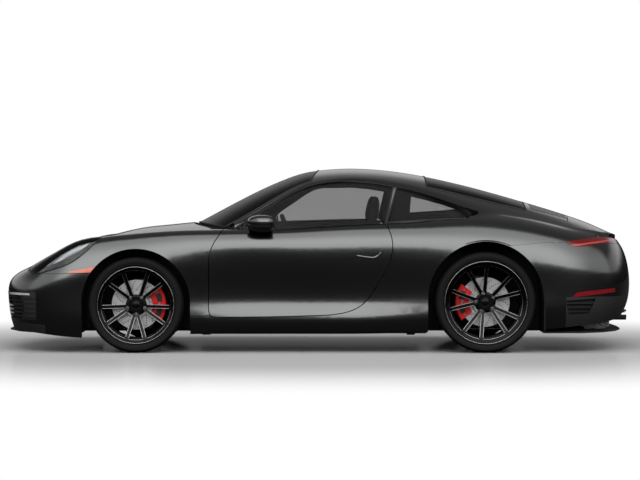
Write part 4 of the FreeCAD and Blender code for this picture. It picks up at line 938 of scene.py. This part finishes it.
def laid(way, xs, zs, lift, depth, steps=(10, 8)):
    made = bmesh.new()
    layers = []
    for under in (lift, -depth):
        rows = []
        for i in range(steps[0] + 1):
            row = []
            for j in range(steps[1] + 1):
                x = xs[0] + (xs[1] - xs[0]) * i / steps[0]
                z = zs[0] + (zs[1] - zs[0]) * j / steps[1]
                outside = Vector((x, way * RAY_FROM_Y, z))
                hit, normal = bumper_side.ray_cast(outside, Vector((0, -way, 0)))[:2]
                if not hit or abs(hit.y) < CORNER_LEAST_Y:
                    hit, normal = bumper_side.find_nearest(Vector((x, way * CORNER_Y, z)))[:2]
                row.append(made.verts.new(hit + normal * under))
            rows.append(row)
        layers.append(rows)
    for rows in layers:
        for i in range(steps[0]):
            for j in range(steps[1]):
                made.faces.new([rows[i][j], rows[i + 1][j], rows[i + 1][j + 1], rows[i][j + 1]])
    top, low = layers
    loop = [(i, 0) for i in range(steps[0])] + [(steps[0], j) for j in range(steps[1])]
    loop += [(i, steps[1]) for i in range(steps[0], 0, -1)] + [(0, j) for j in range(steps[1], 0, -1)]
    for (i, j), (m, n) in zip(loop, loop[1:] + loop[:1]):
        made.faces.new([top[i][j], top[m][n], low[m][n], low[i][j]])
    return closed(made)


for side, way in SIDES.items():
    # The insert's near-black is partly the grille's black plastic and partly painted shade of the
    # intake recess.
    insert = laid(way, DUCT_X, DUCT_Z, lift=0.0008, depth=0.004)
    mounted("corner_duct_" + side, insert, "chassis", painted_opening_shade)
    pitch = (DUCT_Z[1] - FINS_BELOW - DUCT_Z[0]) / FIN_COUNT
    for k in range(FIN_COUNT):
        low = DUCT_Z[0] + pitch * (k + FIN_OFFSET)
        fin = laid(way, (DUCT_X[0], DUCT_X[1] - FIN_SHORT), (low, low + FIN_HIGH), lift=0.006,
                   depth=0.002, steps=(8, 1))
        mounted("duct_fin_%s_%d" % (side, k + 1), fin, "chassis", black_plastic)
    strip = laid(way, (DUCT_X[0], DUCT_X[0] + DAY_LIGHT_LONG), DAY_LIGHT_Z, lift=0.0035, depth=0.002,
                 steps=(8, 2))
    mounted("corner_day_light_" + side, strip, "chassis", lamp_core)
    upright = laid(way, (DUCT_X[1] - FRAME_WIDE, DUCT_X[1]), DUCT_Z, lift=0.003, depth=0.002,
                   steps=(1, 8))
    mounted("duct_frame_" + side, upright, "chassis", black_plastic)


# Tail lamp, markers and reflectors: coloured acrylic mouldings, ribbed on the inside and clipped
# into the skin. The tail lamp is a dark band with one red strip along its middle, painted bright
# as a highlight.
TAIL_MIDDLE = (1.785, 0.762)
TAIL_RISE = 0.115
TAIL_HALF = 0.026
sheet = Finish("red_lens")
height = sheet.axis("Z") - TAIL_MIDDLE[1] - TAIL_RISE * (sheet.axis("X") - TAIL_MIDDLE[0])
height = height / TAIL_HALF
band = 1.0 - sheet.ramp(height * height, 0.7, 1.1)
# The strip's bright red is a painted highlight along the lamp.
strip = 1.0 - sheet.ramp((height + 0.35) * (height + 0.35), 0.02, 0.09)
tone = sheet.mixed(band, grey(0.008), (0.11, 0.002, 0.002, 1.0))
tone = sheet.mixed(strip, tone, (0.42, 0.05, 0.05, 1.0))
dress(["tail_lamp"], sheet.solid(Base_Color=tone, Roughness=0.10 + 0.05 * strip, Coat_Weight=1.0,
                                 Coat_Roughness=0.02))
LENSES = [("red_reflector", (0.16, 0.004, 0.006, 1.0), (0.30, 0.012, 0.02, 1.0), ["rear_reflectors"]),
          ("orange_lens", (0.62, 0.085, 0.018, 1.0), (0.80, 0.16, 0.05, 1.0), ["side_markers"]),
          ("white_lens", grey(0.50), grey(0.72), ["day_lamps"])]
for name, low, high, nodes in LENSES:
    sheet = Finish(name)
    ribs = sheet.node("ShaderNodeTexWave", {"bands_direction": "Z"},
                      {"Vector": sheet.place(), "Scale": 60.0, "Distortion": 0.0})
    dress(nodes, sheet.solid(Base_Color=sheet.mixed(ribs, low, high), Roughness=0.12 + 0.05 * ribs,
                             Coat_Weight=1.0, Coat_Roughness=0.02))


# Door mirrors: a moulded shell, its cap painted like the body and its lower half bare black, on a
# slim foot that stands on the door. The glass is set into the rear of the shell.
MIRROR_CENTRE = (-0.412, 0.902, 0.908)
MIRROR_HALF = (0.108, 0.108, 0.060)
MIRROR_BACK = 0.070
MIRROR_ROWS = 32
MIRROR_COLUMNS = 48
CAP_BELOW = 0.012
PANE_HALF = (0.088, 0.044)
PANE_BACK = 0.0105
MIRROR_FOOT = [((-0.462, 0.776, 0.852), (0.052, 0.012)), ((-0.456, 0.815, 0.864), (0.046, 0.012)),
               ((-0.440, 0.860, 0.880), (0.042, 0.014))]
X_AXIS = Vector((1, 0, 0))
Y_AXIS = Vector((0, 1, 0))
Z_AXIS = Vector((0, 0, 1))
silvered = specked("mirror_glass", 12.0, 2.0, grey(0.78), grey(0.84), 0.02, 0.03, Metallic=1.0)


def bulge(value, power):
    return math.copysign(abs(value) ** power, value)


def mirror_shell(way):
    cx, cy, cz = MIRROR_CENTRE
    hx, hy, hz = MIRROR_HALF
    loops = []
    for i in range(1, MIRROR_ROWS):
        tilt = math.pi * i / MIRROR_ROWS
        loop = []
        for k in range(MIRROR_COLUMNS):
            turn = 2 * math.pi * k / MIRROR_COLUMNS
            x = -math.cos(tilt)
            y = bulge(math.sin(tilt), 0.72) * bulge(math.cos(turn), 0.62)
            z = bulge(math.sin(tilt), 0.72) * bulge(math.sin(turn), 0.72)
            x = cx + min(hx * x, MIRROR_BACK)
            lean = 0.016 * (y + 1.0)
            z = cz + hz * z * (1.0 - 0.16 * y) + 0.006 * y
            loop.append((x + lean * 0.6, way * (cy + hy * y), z))
        loops.append(loop)
    made = walled(loops)
    for face in made.faces:
        centre = face.calc_center_median()
        if centre.z < cz - CAP_BELOW and centre.x < cx + MIRROR_BACK - 0.004:
            face.material_index = 1
    return closed(made, smooth=True)


def oval(centre, half, axes, count=24, power=0.8):
    a, b = axes
    return [centre + a * (half[0] * bulge(math.cos(2 * math.pi * k / count), power))
            + b * (half[1] * bulge(math.sin(2 * math.pi * k / count), power)) for k in range(count)]


for side, way in SIDES.items():
    body = "door_" + side
    shell = mounted("mirror_shell_" + side, mirror_shell(way), body, paint, black_plastic)
    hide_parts("mirror_" + side)
    foot = closed(walled([oval(Vector((x, way * y, z)), half, (X_AXIS, Z_AXIS))
                          for (x, y, z), half in MIRROR_FOOT]), smooth=True)
    mounted("mirror_foot_" + side, foot, body, black_plastic)
    cx, cy, cz = MIRROR_CENTRE
    back = Vector((cx + MIRROR_BACK + PANE_BACK, way * cy, cz))
    pane = closed(walled([oval(back + X_AXIS * shift, PANE_HALF, (Y_AXIS, Z_AXIS), 32, 0.6)
                          for shift in (0.0006, -0.004)]))
    mounted("mirror_glass_" + side, pane, body, silvered)


# Door handles: a painted pull blade of cast alloy, hung in the door skin on a pin behind it, with a
# bright metal bead along its lower edge only, which is painted highlight.
HANDLE_MIDDLE = 0.712
HANDLE_FRONT = 0.250
HANDLE_EDGE_RADIUS = 0.0026
HANDLE_EDGE_SPACING = 0.008
for side, way in SIDES.items():
    rim = outer_edge("door_handle_" + side, (0, way, 0.1))
    corners = [corner.co for corner in rim.vertices]
    keep = [place.z < HANDLE_MIDDLE and place.x > HANDLE_FRONT for place in corners]
    lower = [tuple(edge.vertices) for edge in rim.edges if all(keep[i] for i in edge.vertices)]
    machined_and_highlight_bead.grown("door_handle_edge_" + side, points_mesh(corners, chains=lower), "door_" + side,
                    Radius=HANDLE_EDGE_RADIUS, Step=HANDLE_EDGE_SPACING)


# Inner window trim: cloth covered mouldings clipped round the side windows, one on the body from the
# windscreen pillar over the roof frame, and one cap along the top of each door.
sheet = Finish("trim_cloth")
weave = sheet.node("ShaderNodeTexVoronoi", {}, {"Vector": sheet.place(), "Scale": 900.0})
trim_cloth = sheet.solid(Base_Color=sheet.mixed(weave, grey(0.010), grey(0.022)),
                         Roughness=0.9 + 0.1 * weave, Specular_IOR_Level=0.05)
TRIM_THICK = 0.008
BODY_TRIM = [((-0.640, 0.868), (-0.420, 0.880)), ((-0.445, 0.985), (-0.285, 0.990)),
             ((-0.320, 1.058), (-0.190, 1.053)), ((-0.198, 1.128), (-0.114, 1.106)),
             ((-0.076, 1.178), (-0.046, 1.144)), ((0.005, 1.200), (0.015, 1.159)),
             ((0.240, 1.208), (0.244, 1.163)), ((0.400, 1.192), (0.366, 1.152)),
             ((0.535, 1.168), (0.485, 1.132)), ((0.480, 0.905), (0.440, 0.931))]
DOOR_CAP = [((-0.560, 0.840), (-0.520, 0.905)), ((-0.300, 0.840), (-0.282, 0.908)),
            ((0.080, 0.850), (0.080, 0.920)), ((0.428, 0.850), (0.432, 0.928))]
QUARTER_TRIM = [((0.490, 0.905), (0.635, 0.969)), ((0.530, 1.040), (0.642, 1.040)),
                ((0.560, 1.158), (0.650, 1.106)), ((0.760, 1.112), (0.780, 1.075)),
                ((0.960, 1.046), (0.930, 1.034)), ((1.120, 0.994), (1.030, 0.999)),
                ((1.060, 0.940), (0.940, 0.990)), ((0.760, 0.918), (0.790, 0.980)),
                ((0.490, 0.905), (0.635, 0.969))]


def trim_depth(z):
    return 0.700 - 0.55 * (z - 0.90)


def trim_strip(pairs, way):
    loops = []
    inward = Vector((0, -way * TRIM_THICK, -0.3 * TRIM_THICK))
    for (x0, z0), (x1, z1) in pairs:
        a = Vector((x0, way * trim_depth(z0), z0))
        b = Vector((x1, way * trim_depth(z1), z1))
        loops.append([a, b, b + inward, a + inward])
    return closed(walled(loops))


for side, way in SIDES.items():
    mounted("body_window_trim_" + side, trim_strip(BODY_TRIM, way), "chassis", trim_cloth)
    mounted("quarter_window_trim_" + side, trim_strip(QUARTER_TRIM, way), "chassis", trim_cloth)
    mounted("door_cap_" + side, trim_strip(DOOR_CAP, way), "door_" + side, trim_cloth)


# Front seats: foam pads under black leather in a hard plastic shell, on two steel runners. Each pad
# is blown up from its cut shape, then its sewn channels are drawn in.
sheet = Finish("seat_leather")
grain = sheet.node("ShaderNodeTexVoronoi", {"feature": "DISTANCE_TO_EDGE"},
                   {"Vector": sheet.place(), "Scale": 420.0})
leather = sheet.solid(Base_Color=sheet.mixed(sheet.noise(9.0), grey(0.016), grey(0.028)),
                      Roughness=0.45 + 0.15 * sheet.noise(60.0), Normal=sheet.bump(grain, 0.0002))
thread = specked("grey_thread", 800.0, 1.0, grey(0.10), grey(0.18), 0.7)
PAD_VOXEL = 0.007
PAD_CAP = 0.016
PAD_ROUNDING = 0.022
BLOW_FRAMES = 20
SEAM_WIDTH = 0.010


def cut_shape(profile, half, taper=0.0):
    cx = sum(p[0] for p in profile) / len(profile)
    cz = sum(p[1] for p in profile) / len(profile)
    loops = [[(cx + (x - cx) * keep, y, cz + (z - cz) * keep) for x, z in profile]
             for y, keep in ((-half, 1.0 - taper), (0.0, 1.0), (half, 1.0 - taper))]
    return closed(walled(loops), offset=PAD_ROUNDING, segments=3, profile=0.6)


def blown(name, mesh):
    pad = placed(name, mesh)
    remesh = pad.modifiers.new("remesh", "REMESH")
    remesh.mode = "VOXEL"
    remesh.voxel_size = PAD_VOXEL
    bpy.context.view_layer.update()
    result = finished(pad)
    pad.modifiers.clear()
    pad.data = result
    cloth = pad.modifiers.new("cloth", "CLOTH")
    cloth.settings.quality = 5
    cloth.settings.mass = 0.3
    cloth.settings.use_pressure = True
    cloth.settings.uniform_pressure_force = 4.0
    cloth.settings.effector_weights.gravity = 0.0
    cloth.settings.tension_stiffness = 20.0
    cloth.settings.compression_stiffness = 20.0
    cloth.point_cache.frame_start = 1
    cloth.point_cache.frame_end = BLOW_FRAMES
    for step in range(1, BLOW_FRAMES + 1):
        bpy.context.scene.frame_set(step)
    plain, result = result, finished(pad)
    for before, after in zip(plain.vertices, result.vertices):
        move = after.co - before.co
        if move.length > PAD_CAP:
            after.co = before.co + move * (PAD_CAP / move.length)
    pad.modifiers.clear()
    bpy.context.scene.frame_set(1)
    bpy.data.objects.remove(pad)
    return result


def channelled(mesh, seams, depth=0.006):
    for corner in mesh.vertices:
        push = 0.0
        for seam in seams:
            push = max(push, depth * math.exp(-(seam(corner.co) / SEAM_WIDTH) ** 2))
        corner.co -= corner.normal * push
    mesh.update()
    return mesh


def finer_copy(mesh, dy):
    shifted = mesh.copy()
    shifted.transform(Matrix.Translation((0, dy, 0)))
    keeper = placed("finer", shifted)
    step = keeper.modifiers.new("smooth", "SUBSURF")
    step.levels = 1
    step.render_levels = 1
    bpy.context.view_layer.update()
    made = finished(keeper)
    bpy.data.objects.remove(keeper)
    made.shade_smooth()
    return made


SEAT_Y = 0.372
CUSHION = [(-0.235, 0.335), (-0.228, 0.415), (0.235, 0.385), (0.300, 0.310)]
BACK_PAD = [(0.290, 0.350), (0.232, 0.425), (0.322, 0.882), (0.366, 0.882), (0.392, 0.600),
            (0.375, 0.360)]
HEAD_PAD = [(0.338, 0.905), (0.372, 1.098), (0.424, 1.096), (0.408, 0.905)]
FRONT_PADS = {
    "cushion": channelled(blown("cushion", cut_shape(CUSHION, 0.225)), [
        lambda p: abs(abs(p.y) - 0.135) if p.z > 0.36 else 1.0,
        lambda p: abs(p.x - 0.02) if p.z > 0.36 and abs(p.y) < 0.135 else 1.0,
        lambda p: abs(p.x + 0.10) if p.z > 0.36 and abs(p.y) < 0.135 else 1.0]),
    "back": channelled(blown("back", cut_shape(BACK_PAD, 0.215, 0.06)), [
        lambda p: abs(abs(p.y) - 0.125) if p.x < 0.33 else 1.0,
        lambda p: abs(p.z - 0.58) if p.x < 0.33 and abs(p.y) < 0.125 else 1.0,
        lambda p: abs(p.z - 0.70) if p.x < 0.33 and abs(p.y) < 0.125 else 1.0]),
    "headrest": channelled(blown("headrest", cut_shape(HEAD_PAD, 0.105, 0.10)), [
        lambda p: abs(abs(p.y) - 0.075) if p.x < 0.39 else 1.0], 0.004),
}
SHELL_HALF = 0.212
SHELL_THICK = 0.012
SHELL_PATH = [(-0.235, 0.300), (0.285, 0.288), (0.380, 0.330), (0.404, 0.560), (0.384, 0.880)]
stitch = Pattern("stitches", Length=0.006, Width=0.0012)
size = stitch.node("ShaderNodeCombineXYZ", {}, {
    "X": stitch.given("Width"), "Y": stitch.given("Width"), "Z": stitch.given("Length")})
stitch.end(stitch.on_points(stitch.node("GeometryNodeMeshCube", {}, {"Size": size}, "Mesh")), thread)


def sewn(name, mesh, lines, dy):
    skin = BVHTree.FromPolygons([v.co for v in mesh.vertices], [p.vertices for p in mesh.polygons])
    places = []
    turns = []
    for start, end, count, look in lines:
        start = Vector(start)
        end = Vector(end)
        for k in range(count):
            at = start.lerp(end, (k + 0.5) / count)
            hit, normal = skin.ray_cast(at - Vector(look) * 0.2, Vector(look))[:2]
            if hit:
                places.append(hit + normal * 0.0004 + Vector((0, dy, 0)))
                turns.append(facing(end - start))
    stitch.grown(name, points_mesh(places, turns), "chassis")


def bent_plate(name, path, half, thick, material, dy):
    loops = []
    for i, (x, z) in enumerate(path):
        a = Vector(path[max(i - 1, 0)])
        b = Vector(path[min(i + 1, len(path) - 1)])
        n = Vector((-(b - a).y, (b - a).x)).normalized() * thick / 2
        loops.append([(x + n.x, dy - half, z + n.y), (x + n.x, dy + half, z + n.y),
                      (x - n.x, dy + half, z - n.y), (x - n.x, dy - half, z - n.y)])
    mounted(name, closed(walled(loops)), "chassis", material)


DOWN = (0.0, 0.0, -1.0)
REARWARD = (1.0, 0.0, 0.0)
CUSHION_LINES = (-0.143, -0.127, 0.127, 0.143)
BACK_LINES = (-0.133, -0.117, 0.117, 0.133)
POST_SHIFTS = (-0.045, 0.045)
POST = ([(0.376, 0.84), (0.392, 0.93)], 0.006, 0.010, steel)
RUNNER_SHIFTS = (-0.170, 0.170)
RUNNER = ([(-0.20, 0.155), (0.32, 0.155)], 0.020, 0.020, steel)
RISER = ([(-0.10, 0.225), (0.24, 0.225)], 0.012, 0.140, black_plastic)
for side, way in SIDES.items():
    dy = way * SEAT_Y
    made = []
    for part, mesh in FRONT_PADS.items():
        pad = mounted("front_seat_%s_%s" % (part, side), finer_copy(mesh, dy), "chassis", leather)
        made.append(pad)
    for pad in made:
        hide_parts("front_seats")
    sewn("cushion_stitches_" + side, FRONT_PADS["cushion"],
         [((-0.20, y, 0.45), (0.20, y, 0.45), 44, DOWN) for y in CUSHION_LINES], dy)
    sewn("back_stitches_" + side, FRONT_PADS["back"],
         [((0.30, y, 0.46), (0.30, y, 0.84), 42, REARWARD) for y in BACK_LINES], dy)
    bent_plate("front_seat_shell_" + side, SHELL_PATH, SHELL_HALF, SHELL_THICK, black_plastic, dy)
    for k, y in enumerate(POST_SHIFTS):
        bent_plate("headrest_post_%s_%d" % (side, k + 1), *POST, dy + y)
    for k, y in enumerate(RUNNER_SHIFTS):
        bent_plate("seat_runner_%s_%d" % (side, k + 1), *RUNNER, dy + y)
        bent_plate("seat_riser_%s_%d" % (side, k + 1), *RISER, dy + y)


# Rear seats: two small foam pads and backs in the same leather as the front ones, blown up and drawn
# in alike, strapped on a moulded plastic base.
REAR_SEAT_Y = 0.235
REAR_HALF = 0.180
REAR_TAPER = 0.05
REAR_BASE = ([(0.585, 0.240), (0.975, 0.240)], 0.185, 0.190, black_plastic)
REAR_CUSHION = [(0.580, 0.345), (0.585, 0.415), (0.850, 0.385), (0.860, 0.345)]
REAR_BACK = [(0.860, 0.420), (0.915, 0.835), (0.965, 0.835), (0.965, 0.420)]
REAR_PADS = {
    "cushion": channelled(blown("rear_cushion", cut_shape(REAR_CUSHION, REAR_HALF, REAR_TAPER)), [
        lambda p: abs(abs(p.y) - 0.10) if p.z > 0.37 else 1.0]),
    "back": channelled(blown("rear_back", cut_shape(REAR_BACK, REAR_HALF, REAR_TAPER)), [
        lambda p: abs(abs(p.y) - 0.10) if p.x < 0.93 else 1.0,
        lambda p: abs(p.z - 0.62) if p.x < 0.93 and abs(p.y) < 0.10 else 1.0]),
}
for side, way in SIDES.items():
    dy = way * REAR_SEAT_Y
    for part, mesh in REAR_PADS.items():
        pad = mounted("rear_seat_%s_%s" % (part, side), finer_copy(mesh, dy), "chassis", leather)
        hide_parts("rear_seats")
    bent_plate("rear_seat_base_" + side, *REAR_BASE, dy)

dress(["steering_wheel", "front_seats", "rear_seats"], leather)
